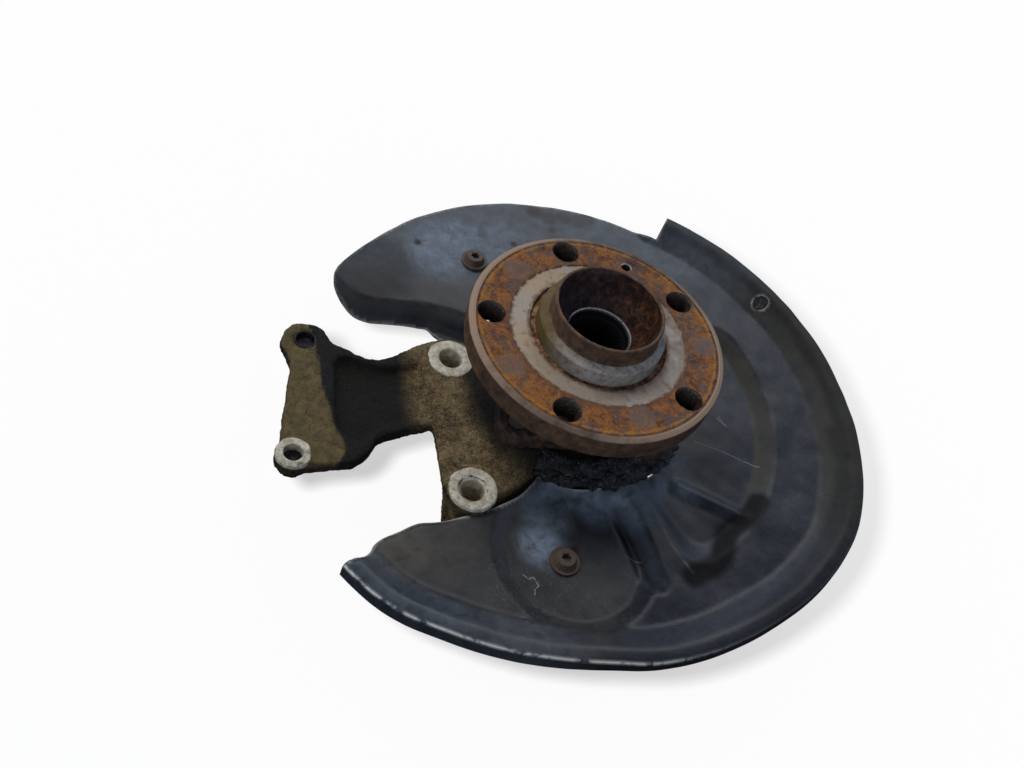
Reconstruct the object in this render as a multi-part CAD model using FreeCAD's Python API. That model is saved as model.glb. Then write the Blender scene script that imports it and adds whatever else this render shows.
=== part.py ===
import FreeCAD, Part
import math
import os
from FreeCAD import Vector

# Rear wheel hub assembly of a car: a cast wheel carrier, a bolted hub and bearing unit,
# a pressed dust shield and three bonded rubber link bushes.
# The origin is the centre of the wheel face, +Z points outboard along the hub's axis,
# and the two brake caliper ears stand on a line along Y.
# Sizes are in millimetres and degrees.

X_AXIS = Vector(1, 0, 0)
Z_AXIS = Vector(0, 0, 1)
CENTRE = Vector(0, 0, 0)

# The share of a plan outline's side that the arc at one of its ends may take
CORNER_ROOM = 0.45

# Wheel flange
wheel_bolt_circle_radius = 56.0
wheel_bolt_count = 5
wheel_bolt_phase = 24.5
wheel_bolt_hole_radius = 6.3
disc_screw_circle_radius = 54.0
disc_screw_hole_radius = 2.5
flange_edge_width = 11.4
flange_thickness = 13.5
flange_bevel = 3.5
flange_bevel_drop = 1.1
flange_root_width = 9.0
band_outer_radius = 46.6
band_inner_radius = 36.1
band_depth = 0.5
groove_depth = 2.0

# Register for the brake disc and spigot for the wheel
register_radius = 33.1
register_height = 7.0
register_chamfer = 0.8
register_chamfer_height = 0.6
spigot_radius = 28.5
spigot_height = 18.7
spigot_foot_height = 1.4
spigot_foot_chamfer = 0.6
spigot_foot_chamfer_height = 0.8
spigot_wall = 1.8
spigot_bevel = 0.6
bowl_draft = 2.2
bowl_knee_height = 8.0
bowl_seat_width = 1.9
bowl_seat_depth = 0.6

# Drive splines in the hub
spline_count = 36
spline_root_radius = 14.3
spline_tooth_height = 1.2
spline_top_depth = 4.0
spline_lead_in = 0.5
spline_root_share = 0.20
spline_foot_share = 0.36
pilot_clearance = 0.7
pilot_length = 8.0

# Bearing
outer_ring_radius = 41.0
outer_ring_wall = 4.15
outer_ring_top_depth = 20.0
outer_ring_length = 42.0
outer_ring_chamfer = 1.0
outer_land_offset = 3.4
inner_land_offset = 3.7
inner_ring_wall = 7.3
inner_ring_length = 24.5
inner_ring_row_inset = 11.5
ball_radius = 5.55
ball_count = 14
groove_clearance = 0.3
groove_flats = 8
outboard_row_inset = 9.5
row_spacing = 21.5
seat_fit = 0.05
lip_width = 4.0
lip_length = 4.0
seal_thickness = 2.0
seal_land_rise = 2.0
seal_seat_wall = 4.6
seal_land_overrun = 0.3
cage_wall = 3.4
cage_rail = 0.9
running_gap = 0.3

# Bearing flange and its bolts
bearing_flange_thickness = 10.0
bearing_flange_rim = 2.0
bearing_bolt_count = 4
bearing_bolt_phase = 38.0
bearing_bolt_offset = 9.0
bearing_lobe_radius = 10.5
bearing_bolt_radius = 5.0
bearing_bolt_head_height = 6.5
bearing_bolt_head_flats = 15.0
bearing_bolt_washer_radius = 10.5
bearing_bolt_washer_thickness = 2.5
bolt_tip_setback = 1.0
bolt_hole_clearance = 0.15
bolt_clearance = 0.5

# Wheel carrier
carrier_face_depth = 44.0
carrier_ring_wall = 8.0
carrier_ring_length = 24.0
ear_x = -65.5
ear_upper_y = 16.4
ear_spacing = 80.5
ear_seat_radius = 12.0
ear_height = 22.0
ear_relief = 1.5
ear_hole_radius = 6.0
ear_hole_depth = 40.0
column_radius = 15.5
column_draft = 6.5
column_foot_taper = 0.5
column_foot_shift = 5.0
web_radius = 24.0
web_start = (8.0, 11.0)
web_end = (-25.0, -20.0)
web_relief = 1.0

# Arm with the two-hole end plate, its edge given from the hole or ear beside it
arm_thickness = 10.0
arm_face_relief = 1.0
arm_pocket_depth = 4.5
arm_rib_width = 7.5
arm_corner = 6.0
arm_hole_lower = (-150.0, -43.0)
arm_hole_upper = (-140.5, 27.4)
arm_hole_radius = 4.6
arm_seat_radius = 8.3
arm_lower_boss_radius = 9.0
arm_upper_boss_radius = 12.5
arm_edge_by_upper_hole = [(-8, -15), (-13, 0), (-6, 12), (6, 11), (14, -1), (31, -11), (40, -10.5)]
arm_edge_by_upper_ear = [(-15, 11.5), (0, 16), (12, -20)]
arm_edge_by_lower_ear = [(-12, 19)]
arm_edge_by_lower_hole = [(42, 10), (36, 0.5), (28, -5), (6, -7), (-6, -7), (-7, 3), (-3, 30)]
pocket_edge_by_upper_hole = [(14, -8), (38, -17.5)]
pocket_edge_by_upper_ear = [(-14, -2)]
pocket_edge_by_lower_ear = [(-15, 16)]
pocket_edge_by_lower_hole = [(46, 11), (31, 0)]
pocket_corner_by_lower_hole = [(22, 16)]

# Link eyes and bushes
eye_radius = 22.0
eye_length = 40.0
eye_drop = 41.0
upper_eye = (8.0, 100.0)
spring_eye = (5.0, -104.0)
track_eye = (-66.0, -90.0)
track_eye_length = 34.0
sleeve_radius = 17.0
sleeve_wall = 1.8
core_radius = 9.0
core_bore_radius = 6.2
core_proud = 3.0
rubber_recess = 2.0
link_arm_root_y = 38.0
link_arm_width = 34.0
link_arm_taper = 3.0
link_arm_top_gap = 6.0
link_arm_thickness = 26.0
track_arm_root = (8.0, 20.0)
track_arm_taper = 1.0

# Dust shield
shield_thickness = 1.2
shield_set_back = 4.0
shield_opening_radius = 62.5
rim_radius = 165.0
rim_crest_width = 7.2
rim_slope_width = 14.0
rim_rise = 8.0
rim_lip = 6.0
rim_crest_round = 2.0
rim_slope_round = 0.6
rim_start_angle = 55.5
rim_end_angle = -141.5
upper_horn_edge = [(-124, 80), (-119, 66), (-106, 52.5), (-60, 50)]
lower_horn_edge = [
    (-33, -61), (-52, -71.5), (-65, -77.5), (-93, -79.5), (-112, -87.5), (-120, -98), (-136, -106),
]
horn_corner = 5.0
flap_crease = [(-135, 90), (-121, 73), (-108, 60.5), (-90, 58), (-52, 47)]
flap_low_y = 20.0
flap_drop = 11.0
flap_width = 8.0
step_outer_radius = 117.6
step_width = 9.0
step_drop = 4.5
step_start_angle = 27.0
step_end_angle = -69.5
step_corner = 15.0
step_corner_sides = 4
step_arc_sides = 20
dish_centre = (-19.0, -98.5)
dish_radius = 42.0
dish_slope = 7.0
dish_drop = 5.0
bead_inner = (49.0, -60.5)
bead_outer = (76.0, -77.0)
bead_radius = 5.5
bead_slope = 3.0
bead_rise = 3.0
drain_hole_angle = 25.9
drain_hole_inset = 13.8
drain_hole_radius = 4.3

# Shield screws
upper_screw = (-40.5, 92.5)
lower_screw = (-24.0, -100.5)
screw_head_radius = 7.6
screw_head_height = 4.5
screw_washer_thickness = 1.2
screw_shank_radius = 3.0
screw_length = 14.0
screw_crown_inset = 1.5
screw_crown_draft = 1.5
screw_drive_radius = 2.7
screw_drive_waist = 1.95
screw_drive_depth = 2.5
screw_boss_radius = 9.0
screw_boss_root_radius = 12.0
screw_boss_depth = 10.0
upper_boss_root = (0.0, 86.0)
lower_boss_root = (0.0, -98.0)

# Radii worked out from the sizes above
flange_radius = wheel_bolt_circle_radius + flange_edge_width
bowl_seat_radius = spline_root_radius + bowl_seat_width
pilot_radius = spline_root_radius + pilot_clearance
ball_pitch_radius = outer_ring_radius - outer_ring_wall - ball_radius - groove_clearance
outer_land_radius = ball_pitch_radius + outer_land_offset
inner_land_radius = ball_pitch_radius - inner_land_offset
seal_seat_radius = outer_ring_radius - seal_seat_wall
seal_land_radius = inner_land_radius + seal_land_rise
journal_radius = inner_land_radius - inner_ring_wall
lip_radius = journal_radius + lip_width
bearing_bolt_circle_radius = outer_ring_radius + bearing_bolt_offset
carrier_ring_radius = bearing_bolt_circle_radius + carrier_ring_wall
rim_root_radius = rim_radius - rim_crest_width - rim_slope_width

# Heights and places worked out from the sizes above
outboard_row_depth = outer_ring_top_depth + outboard_row_inset
inboard_row_depth = outboard_row_depth + row_spacing
inner_ring_top_depth = inboard_row_depth - inner_ring_row_inset
face_z = -carrier_face_depth
carrier_back_z = face_z - carrier_ring_length
shield_z = face_z - shield_set_back
shield_under_z = shield_z - shield_thickness
eye_z = face_z - eye_drop
ear_lower_y = ear_upper_y - ear_spacing
upper_ear = (ear_x, ear_upper_y)
lower_ear = (ear_x, ear_lower_y)


def polar(radius, angle, z=0.0):
    """A point at a radius and an angle about the hub's axis."""
    turn = math.radians(angle)
    return Vector(radius * math.cos(turn), radius * math.sin(turn), z)


def flat(points, z):
    """Points of a plan outline as vectors at one height."""
    return [Vector(x, y, z) for x, y in points]


def closed_wire(points):
    return Part.makePolygon(points + points[:1])


def turned(profile):
    """A solid turned about the hub's axis from (radius, height) points."""
    points = [Vector(radius, 0, z) for radius, z in profile]
    return Part.Face(closed_wire(points)).revolve(CENTRE, Z_AXIS, 360)


def disc(centre, radius, low, high):
    base = Vector(centre[0], centre[1], low)
    return Part.makeCylinder(radius, high - low, base, Z_AXIS)


def tube(centre, outer, inner, low, high):
    return disc(centre, outer, low, high).cut(disc(centre, inner, low, high))


def rounded_wire(points, radius, z):
    """A closed plan outline whose corners are arcs of one radius, or less where a side is short."""
    corners = flat(points, z)
    edges = []
    starts = []
    ends = []
    middles = []
    count = len(corners)
    for index in range(count):
        corner = corners[index]
        before = corners[index - 1] - corner
        after = corners[(index + 1) % count] - corner
        half = before.getAngle(after) / 2
        room = CORNER_ROOM * min(before.Length, after.Length)
        setback = min(radius / math.tan(half), room)
        start = corner + before.normalize() * setback
        end = corner + after.normalize() * setback
        arc_radius = setback * math.tan(half)
        inward = (before + after).normalize()
        middle = corner + inward * (arc_radius / math.sin(half) - arc_radius)
        starts.append(start)
        ends.append(end)
        middles.append(middle)
    for index in range(count):
        edges.append(Part.Arc(starts[index], middles[index], ends[index]).toShape())
        edges.append(Part.makeLine(ends[index], starts[(index + 1) % count]))
    return Part.Wire(edges)


def rounded_prism(points, radius, low, high):
    face = Part.Face(rounded_wire(points, radius, low))
    return face.extrude(Vector(0, 0, high - low))


def strap_wire(start, start_radius, end, end_radius, z):
    """The outline round two circles and their outer tangents."""
    a = Vector(start[0], start[1], z)
    b = Vector(end[0], end[1], z)
    along = b - a
    heading = math.degrees(math.atan2(along.y, along.x))
    lean = math.degrees(math.acos((start_radius - end_radius) / along.Length))
    a_left = a + polar(start_radius, heading + lean)
    a_right = a + polar(start_radius, heading - lean)
    b_left = b + polar(end_radius, heading + lean)
    b_right = b + polar(end_radius, heading - lean)
    back = a + polar(start_radius, heading + 180)
    front = b + polar(end_radius, heading)
    return Part.Wire([
        Part.Arc(a_left, back, a_right).toShape(),
        Part.makeLine(a_right, b_right),
        Part.Arc(b_right, front, b_left).toShape(),
        Part.makeLine(b_left, a_left),
    ])


def strap(start, start_radius, end, end_radius, low, high):
    face = Part.Face(strap_wire(start, start_radius, end, end_radius, low))
    return face.extrude(Vector(0, 0, high - low))


def bolt_circle(count, radius, phase):
    return [polar(radius, phase + 360.0 * index / count) for index in range(count)]


def hub():
    """Wheel flange, spigot, bearing barrel and splined bore, forged and turned as one piece."""
    back = -flange_thickness
    lip_top = -(inner_ring_top_depth + inner_ring_length)
    bottom = lip_top - lip_length
    spline_low = bottom + pilot_length
    spline_tip_radius = spline_root_radius - spline_tooth_height
    seal_low = -(outer_ring_top_depth + seal_thickness + seal_land_overrun)
    foot_z = register_height + spigot_foot_height
    bowl_wall = spigot_radius - spigot_wall
    profile = [
        (pilot_radius, bottom),
        (lip_radius, bottom),
        (lip_radius, lip_top),
        (journal_radius, lip_top),
        (journal_radius, -inner_ring_top_depth),
        (inner_land_radius, -inner_ring_top_depth),
        (inner_land_radius, seal_low),
        (seal_land_radius, seal_low),
        (seal_land_radius, -outer_ring_top_depth),
        (seal_land_radius + flange_root_width, back),
        (flange_radius, back),
        (flange_radius, -flange_bevel_drop),
        (flange_radius - flange_bevel, 0),
        (band_outer_radius, 0),
        (band_outer_radius, -band_depth),
        (band_inner_radius, -band_depth),
        (band_inner_radius, -groove_depth),
        (register_radius, -groove_depth),
        (register_radius, register_height - register_chamfer_height),
        (register_radius - register_chamfer, register_height),
        (spigot_radius + spigot_foot_chamfer, foot_z),
        (spigot_radius, foot_z + spigot_foot_chamfer_height),
        (spigot_radius, spigot_height - spigot_bevel),
        (spigot_radius - spigot_bevel, spigot_height),
        (bowl_wall, spigot_height),
        (bowl_wall - bowl_draft, bowl_knee_height),
        (bowl_seat_radius, -bowl_seat_depth),
        (spline_root_radius + spline_lead_in, -spline_top_depth),
        (spline_tip_radius, -spline_top_depth),
        (spline_tip_radius, spline_low),
        (pilot_radius, spline_low),
    ]
    body = turned(profile)
    body = body.cut(spline_cutter(spline_low, -spline_top_depth))
    body = body.cut(ball_groove(outboard_row_depth))
    holes = []
    for spot in bolt_circle(wheel_bolt_count, wheel_bolt_circle_radius, wheel_bolt_phase):
        holes.append(disc(spot, wheel_bolt_hole_radius, back, 0))
    half_pitch = 180.0 / wheel_bolt_count
    screw_spot = polar(disc_screw_circle_radius, wheel_bolt_phase + half_pitch)
    holes.append(disc(screw_spot, disc_screw_hole_radius, back, 0))
    return body.cut(Part.Compound(holes))


def spline_cutter(low, high):
    """The star-shaped bar that leaves the spline teeth standing in the bore."""
    points = []
    pitch = 360.0 / spline_count
    tip = spline_root_radius - spline_tooth_height
    root_half = spline_root_share * pitch
    foot_half = spline_foot_share * pitch
    for index in range(spline_count):
        angle = index * pitch
        points.append(polar(tip, angle - foot_half, low))
        points.append(polar(spline_root_radius, angle - root_half, low))
        points.append(polar(spline_root_radius, angle + root_half, low))
        points.append(polar(tip, angle + foot_half, low))
    return Part.Face(closed_wire(points)).extrude(Vector(0, 0, high - low))


def ball_groove(depth):
    """A ball track with a few flats in place of its arc, which keeps the rings light."""
    half_side = 180.0 / groove_flats
    reach = (ball_radius + groove_clearance) / math.cos(math.radians(half_side))
    section = []
    for index in range(groove_flats):
        turn = math.radians(half_side + 2 * half_side * index)
        section.append((ball_pitch_radius + reach * math.cos(turn), reach * math.sin(turn) - depth))
    return turned(section)


def bearing_outer_ring():
    """Outer race with its bolting flange, both ball grooves and the seal seat."""
    top = -outer_ring_top_depth
    seal_floor = top - seal_thickness - running_gap
    bottom = top - outer_ring_length
    body = turned([
        (outer_land_radius, bottom),
        (outer_ring_radius, bottom),
        (outer_ring_radius, top - outer_ring_chamfer),
        (outer_ring_radius - outer_ring_chamfer, top),
        (seal_seat_radius, top),
        (seal_seat_radius, seal_floor),
        (outer_land_radius, seal_floor),
    ])
    flange_top = face_z + bearing_flange_thickness
    lobes = []
    hollow = disc(CENTRE, outer_ring_radius - outer_ring_chamfer, face_z, flange_top)
    rim = outer_ring_radius + bearing_flange_rim
    for spot in bolt_circle(bearing_bolt_count, bearing_bolt_circle_radius, bearing_bolt_phase):
        lobes.append(strap(CENTRE, rim, spot, bearing_lobe_radius, face_z, flange_top))
    flange = lobes[0].fuse(lobes[1:]).cut(hollow)
    body = body.fuse(flange)
    for spot in bolt_circle(bearing_bolt_count, bearing_bolt_circle_radius, bearing_bolt_phase):
        body = body.cut(disc(spot, bearing_bolt_radius + bolt_hole_clearance, face_z, flange_top))
    for depth in (outboard_row_depth, inboard_row_depth):
        body = body.cut(ball_groove(depth))
    return body.removeSplitter()


def bearing_inner_ring():
    top = -inner_ring_top_depth
    bottom = top - inner_ring_length
    body = tube(CENTRE, inner_land_radius, journal_radius, bottom, top)
    return body.cut(ball_groove(inboard_row_depth))


def ball(centre):
    """A ball as an even many-sided solid, which keeps the rows light."""
    golden = (1 + math.sqrt(5)) / 2
    edge = 2.0
    tolerance = 0.01
    corners = []
    for a in (-edge / 2, edge / 2):
        for b in (-golden, golden):
            corners += [Vector(0, a, b), Vector(a, b, 0), Vector(b, 0, a)]
    faces = []
    count = len(corners)
    for i in range(count):
        for j in range(i + 1, count):
            for k in range(j + 1, count):
                a, b, c = corners[i], corners[j], corners[k]
                longest = max((a - b).Length, (b - c).Length, (c - a).Length)
                if longest < edge + tolerance:
                    faces += split_triangle((a, b, c))
    placed = []
    for trio in faces:
        points = [centre + Vector(p).normalize() * ball_radius for p in trio]
        placed.append(Part.Face(closed_wire(points)))
    return Part.makeSolid(Part.makeShell(placed))


def split_triangle(trio):
    a, b, c = trio
    ab = (a + b) * 0.5
    bc = (b + c) * 0.5
    ca = (c + a) * 0.5
    scale = a.Length
    middles = [Vector(p).normalize() * scale for p in (ab, bc, ca)]
    ab, bc, ca = middles
    return [(a, ab, ca), (ab, b, bc), (ca, bc, c), (ab, bc, ca)]


def ball_row(depth):
    balls = [ball(spot + Vector(0, 0, -depth)) for spot in bolt_circle(ball_count, ball_pitch_radius, 0)]
    return Part.Compound(balls)


def cage(depth):
    """A ring of flats, with one square pocket for each ball."""
    pocket = ball_radius + running_gap
    half = pocket + cage_rail
    low = -depth - half
    prisms = []
    for radius in (ball_pitch_radius + cage_wall / 2, ball_pitch_radius - cage_wall / 2):
        plan = Part.Face(closed_wire(bolt_circle(2 * ball_count, radius, 0)))
        plan.translate(Vector(0, 0, low))
        prisms.append(plan.extrude(Vector(0, 0, 2 * half)))
    body = prisms[0].cut(prisms[1])
    pockets = []
    for index in range(ball_count):
        window = Part.makeBox(4 * cage_wall, 2 * pocket, 2 * pocket)
        window.translate(Vector(ball_pitch_radius - 2 * cage_wall, -pocket, -depth - pocket))
        window.rotate(CENTRE, Z_AXIS, 360.0 * index / ball_count)
        pockets.append(window)
    return body.cut(Part.Compound(pockets))


def outboard_seal():
    top = -outer_ring_top_depth
    return tube(CENTRE, seal_seat_radius, seal_land_radius + running_gap, top - seal_thickness, top)


def encoder_ring():
    """The magnetic ring that closes the inboard side and turns with the hub."""
    low = running_gap - outer_ring_top_depth - outer_ring_length
    return tube(CENTRE, outer_land_radius - running_gap, inner_land_radius, low, low + seal_thickness)


def bearing_bolts():
    """Four flanged hexagon screws, put in from the inboard side."""
    bolts = []
    tip = face_z + bearing_flange_thickness - bolt_tip_setback
    washer_low = carrier_back_z - bearing_bolt_washer_thickness
    head_low = washer_low - bearing_bolt_head_height
    across_corners = bearing_bolt_head_flats / 2 / math.cos(math.radians(30))
    for spot in bolt_circle(bearing_bolt_count, bearing_bolt_circle_radius, bearing_bolt_phase):
        shank = disc(spot, bearing_bolt_radius, carrier_back_z, tip)
        washer = disc(spot, bearing_bolt_washer_radius, washer_low, carrier_back_z)
        corners = [spot + polar(across_corners, 60 * side, head_low) for side in range(6)]
        head = Part.Face(closed_wire(corners)).extrude(Vector(0, 0, bearing_bolt_head_height))
        bolts.append(shank.fuse([washer, head]))
    return Part.Compound(bolts)


def around(place, offsets, lift=0.0):
    """Plan points given from a place, moved up the page by a lift."""
    return [(place[0] + x, place[1] + y + lift) for x, y in offsets]


def arm_outline():
    """Plan of the arm that reaches out to the two-hole end plate."""
    return (
        around(arm_hole_upper, arm_edge_by_upper_hole)
        + around(upper_ear, arm_edge_by_upper_ear)
        + around((ear_x, arm_hole_lower[1]), arm_edge_by_lower_ear)
        + around(arm_hole_lower, arm_edge_by_lower_hole)
    )


def arm_pocket_outline():
    """Plan of the pocket between the arm's ribs."""
    return (
        around(arm_hole_upper, pocket_edge_by_upper_hole)
        + around(upper_ear, pocket_edge_by_upper_ear)
        + around((ear_x, arm_hole_lower[1]), pocket_edge_by_lower_ear, arm_rib_width)
        + around(arm_hole_lower, pocket_edge_by_lower_hole, arm_rib_width)
        + around(arm_hole_lower, pocket_corner_by_lower_hole)
    )


def arm():
    """The flat arm, with a pocket between its ribs and a plain end plate."""
    top = face_z - arm_face_relief
    low = face_z - arm_thickness
    body = rounded_prism(arm_outline(), arm_corner, low, top)
    pocket = arm_pocket_outline()
    floor = top - arm_pocket_depth
    inner = Part.Face(rounded_wire(pocket, arm_corner, floor))
    body = body.cut(inner.extrude(Vector(0, 0, arm_pocket_depth + 1)))
    body = body.fuse([
        disc(arm_hole_lower, arm_lower_boss_radius, low, top),
        disc(arm_hole_lower, arm_seat_radius, top, face_z),
        disc(arm_hole_upper, arm_upper_boss_radius, low, top),
    ])
    return body


def link_eye(spot, length):
    """A bush housing whose bore runs along X."""
    start = Vector(spot[0] - length / 2, spot[1], eye_z)
    return Part.makeCylinder(eye_radius, length, start, X_AXIS)


def link_eye_bore(spot, length):
    start = Vector(spot[0] - length, spot[1], eye_z)
    return Part.makeCylinder(sleeve_radius, 2 * length, start, X_AXIS)


def carrier():
    """The cast wheel carrier: bearing seat, caliper ears, arm and three link eyes."""
    ring = disc(CENTRE, carrier_ring_radius, carrier_back_z, face_z)
    ridge_top = face_z - ear_relief
    ears = [disc(ear, ear_seat_radius, face_z - ear_height, face_z) for ear in (upper_ear, lower_ear)]
    links = link_arms()
    for spot in bolt_circle(bearing_bolt_count, bearing_bolt_circle_radius, bearing_bolt_phase):
        relief = disc(spot, bearing_bolt_washer_radius + bolt_clearance, link_arm_low(), face_z)
        links = [link.cut(relief) for link in links]
    eyes = [
        link_eye(upper_eye, eye_length),
        link_eye(spring_eye, eye_length),
        link_eye(track_eye, track_eye_length),
    ]
    body = ring.fuse([column(ridge_top), web(ridge_top), arm()] + ears + links + eyes + screw_bosses())
    for tool in carrier_holes():
        body = body.cut(tool)
    return body


def column(ridge_top):
    """The drafted ridge that joins the two caliper ears."""
    foot = (ear_x, ear_lower_y + column_foot_shift)
    wires = []
    for radius, z in ((column_radius, ridge_top), (column_radius - column_draft, carrier_back_z)):
        wires.append(strap_wire(upper_ear, radius, foot, radius - column_foot_taper, z))
    return Part.makeLoft(wires, True, True)


def web(ridge_top):
    """The flat wall between the ridge and the bearing ring."""
    start = (ear_x + web_start[0], ear_lower_y + web_start[1])
    return strap(start, column_radius, web_end, web_radius, carrier_back_z, ridge_top - web_relief)


def link_arm_top():
    return shield_under_z - link_arm_top_gap


def link_arm_low():
    return link_arm_top() - link_arm_thickness


def link_arms():
    """The three arms that run from the ring and the ridge to the link eyes."""
    top = link_arm_top()
    low = link_arm_low()
    wide = link_arm_width / 2
    narrow = wide - link_arm_taper
    track_root = (ear_x + track_arm_root[0], ear_lower_y + track_arm_root[1])
    return [
        strap((0, link_arm_root_y), wide, upper_eye, narrow, low, top),
        strap((0, -link_arm_root_y), wide, spring_eye, narrow, low, top - dish_drop),
        strap(track_root, narrow, track_eye, narrow - track_arm_taper, low, top),
    ]


def screw_bosses():
    """Seats under the dust shield for its two screws, each with a rib to the arm beside it."""
    bosses = []
    for spot, root, drop in ((upper_screw, upper_boss_root, 0), (lower_screw, lower_boss_root, dish_drop)):
        top = link_arm_top() - drop
        low = top - screw_boss_depth
        bosses.append(strap(spot, screw_boss_radius, root, screw_boss_root_radius, low, top))
        bosses.append(disc(spot, screw_boss_radius, low, shield_under_z - drop))
    return bosses


def carrier_holes():
    deep = face_z - ear_hole_depth
    cutters = [
        disc(CENTRE, outer_ring_radius + seat_fit, link_arm_low(), face_z),
        disc(upper_ear, ear_hole_radius, deep, face_z),
        disc(lower_ear, ear_hole_radius, deep, face_z),
        disc(arm_hole_lower, arm_hole_radius, deep, face_z),
        disc(arm_hole_upper, arm_hole_radius, deep, face_z),
        disc(upper_screw, screw_shank_radius, shield_under_z - screw_length, shield_under_z),
        disc(lower_screw, screw_shank_radius, shield_under_z - dish_drop - screw_length, shield_under_z),
    ]
    for spot in bolt_circle(bearing_bolt_count, bearing_bolt_circle_radius, bearing_bolt_phase):
        cutters.append(disc(spot, bearing_bolt_radius + bolt_clearance, carrier_back_z, face_z))
    for spot, length in ((upper_eye, eye_length), (spring_eye, eye_length), (track_eye, track_eye_length)):
        cutters.append(link_eye_bore(spot, length))
    return cutters


def x_tube(spot, length, outer, inner):
    start = Vector(spot[0] - length / 2, spot[1], eye_z)
    solid = Part.makeCylinder(outer, length, start, X_AXIS)
    return solid.cut(Part.makeCylinder(inner, length, start, X_AXIS))


def bush(name, spot, length):
    """Outer sleeve, rubber and inner core of one bonded bush."""
    rubber_outer = sleeve_radius - sleeve_wall
    return {
        name + "_bush_sleeve": x_tube(spot, length, sleeve_radius, rubber_outer),
        name + "_bush_rubber": x_tube(spot, length - 2 * rubber_recess, rubber_outer, core_radius),
        name + "_bush_core": x_tube(spot, length + 2 * core_proud, core_radius, core_bore_radius),
    }


def shield_sheet():
    """Flat land, outward slope and turned-down lip, all of one sheet thickness."""
    t = shield_thickness
    crest = shield_z + rim_rise
    slope_end = rim_root_radius + rim_slope_width
    slope_top = crest - rim_slope_round
    inner = rim_radius - t
    low = crest - rim_lip
    return turned([
        (outer_ring_radius, shield_z),
        (rim_root_radius, shield_z),
        (slope_end, slope_top),
        (rim_radius - rim_crest_round, crest),
        (rim_radius, crest - rim_crest_round),
        (rim_radius, low),
        (inner, low),
        (inner, crest - rim_crest_round - t / 2),
        (rim_radius - rim_crest_round - t / 2, crest - t),
        (slope_end + t / 4, slope_top - t),
        (rim_root_radius + t / 4, shield_under_z),
        (outer_ring_radius, shield_under_z),
    ])


def pressed(sheet, outline, slope, height, ground=0.0):
    """The sheet with its ground inside an outline raised or sunk, and sloped walls to it."""
    t = shield_thickness
    top = shield_z + ground
    under = shield_under_z + ground
    punch = Part.Face(outline(0.0, under)).extrude(Vector(0, 0, t))
    base_z = top if height > 0 else under
    other_z = under if height > 0 else top
    outside = Part.makeLoft([outline(0.0, base_z), outline(slope, base_z + height)], True, True)
    inside = Part.makeLoft([outline(0.0, other_z), outline(slope, other_z + height)], True, True)
    formed = punch.fuse(outside).cut(inside)
    return sheet.cut(punch).fuse(formed)


def dish_outline(inset, z):
    centre = Vector(dish_centre[0], dish_centre[1], z)
    return Part.Wire(Part.makeCircle(dish_radius - inset, centre, Z_AXIS))


def bead_outline(inset, z):
    return strap_wire(bead_inner, bead_radius - inset, bead_outer, bead_radius - inset, z)


def step_outline(inset, z):
    """A sector round the hub with rounded outer corners, drawn in by an inset."""
    outer = step_outer_radius - inset
    inner = shield_opening_radius - step_width
    corner_reach = step_outer_radius - step_corner
    lean = math.degrees(math.asin(step_corner / corner_reach))
    points = []
    for end_angle, side in ((step_end_angle, 1), (step_start_angle, -1)):
        centre = polar(corner_reach, end_angle + side * lean, z)
        half = [polar(inner, end_angle, z) + polar(inset, end_angle + 90 * side)]
        for step in range(step_corner_sides + 1):
            share = step / step_corner_sides
            heading = end_angle - 90 * side + (90 + lean) * side * share
            half.append(centre + polar(step_corner - inset, heading))
        points.append(half)
    first = step_end_angle + lean
    last = step_start_angle - lean
    arc = []
    for step in range(1, step_arc_sides):
        arc.append(polar(outer, first + (last - first) * step / step_arc_sides, z))
    return closed_wire(points[0] + arc + points[1][::-1])


def flap_outline(inset, z):
    """The edge of the upper horn, along which the sheet is bent down."""
    crease = [(x, y - inset) for x, y in flap_crease]
    first = crease[0][0]
    last = crease[-1][0]
    return closed_wire(flat(crease + [(last, flap_low_y), (first, flap_low_y)], z))


def beyond(point, far):
    """A plan point moved straight out from the hub's axis to a far radius."""
    reach = math.hypot(point[0], point[1])
    return (point[0] * far / reach, point[1] * far / reach)


def shield_cut_out(low, high):
    """The opening for the caliper, between the two horns."""
    far = 2 * rim_radius
    edge = [beyond(upper_horn_edge[0], far)]
    edge += upper_horn_edge
    edge.append((0, 0))
    edge += lower_horn_edge
    edge.append(beyond(lower_horn_edge[-1], far))
    return rounded_prism(edge, horn_corner, low, high)


def horn_trim(low, high):
    """What lies outside the plain edge of the upper horn, where the rim is left off."""
    far = 2 * rim_radius
    ring = tube(CENTRE, far, rim_root_radius, low, high)
    quarter = (rim_start_angle + 180) / 2
    corners = [Vector(0, 0, low)]
    for angle in (rim_start_angle, quarter, 180, rim_end_angle):
        corners.append(polar(2 * far, angle, low))
    sector = Part.Face(closed_wire(corners)).extrude(Vector(0, 0, high - low))
    return ring.common(sector)


def dust_shield():
    """Pressed sheet: raised rim, sunk sector, dish at the lower screw, bead and bent horn."""
    sheet = shield_sheet()
    sheet = pressed(sheet, dish_outline, dish_slope, -dish_drop)
    sheet = pressed(sheet, step_outline, step_width, -step_drop)
    sheet = pressed(sheet, bead_outline, bead_slope, bead_rise, -step_drop)
    sheet = pressed(sheet, flap_outline, flap_width, -flap_drop)
    low = shield_z - rim_radius
    high = shield_z + rim_radius
    drain_hole = polar(rim_radius - drain_hole_inset, drain_hole_angle)
    holes = [
        disc(CENTRE, shield_opening_radius, low, high),
        shield_cut_out(low, high),
        horn_trim(low, high),
        disc(drain_hole, drain_hole_radius, low, high),
        disc(upper_screw, screw_shank_radius + bolt_clearance, low, high),
        disc(lower_screw, screw_shank_radius + bolt_clearance, low, high),
    ]
    for tool in holes:
        sheet = sheet.cut(tool)
    return sheet.removeSplitter()


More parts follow.
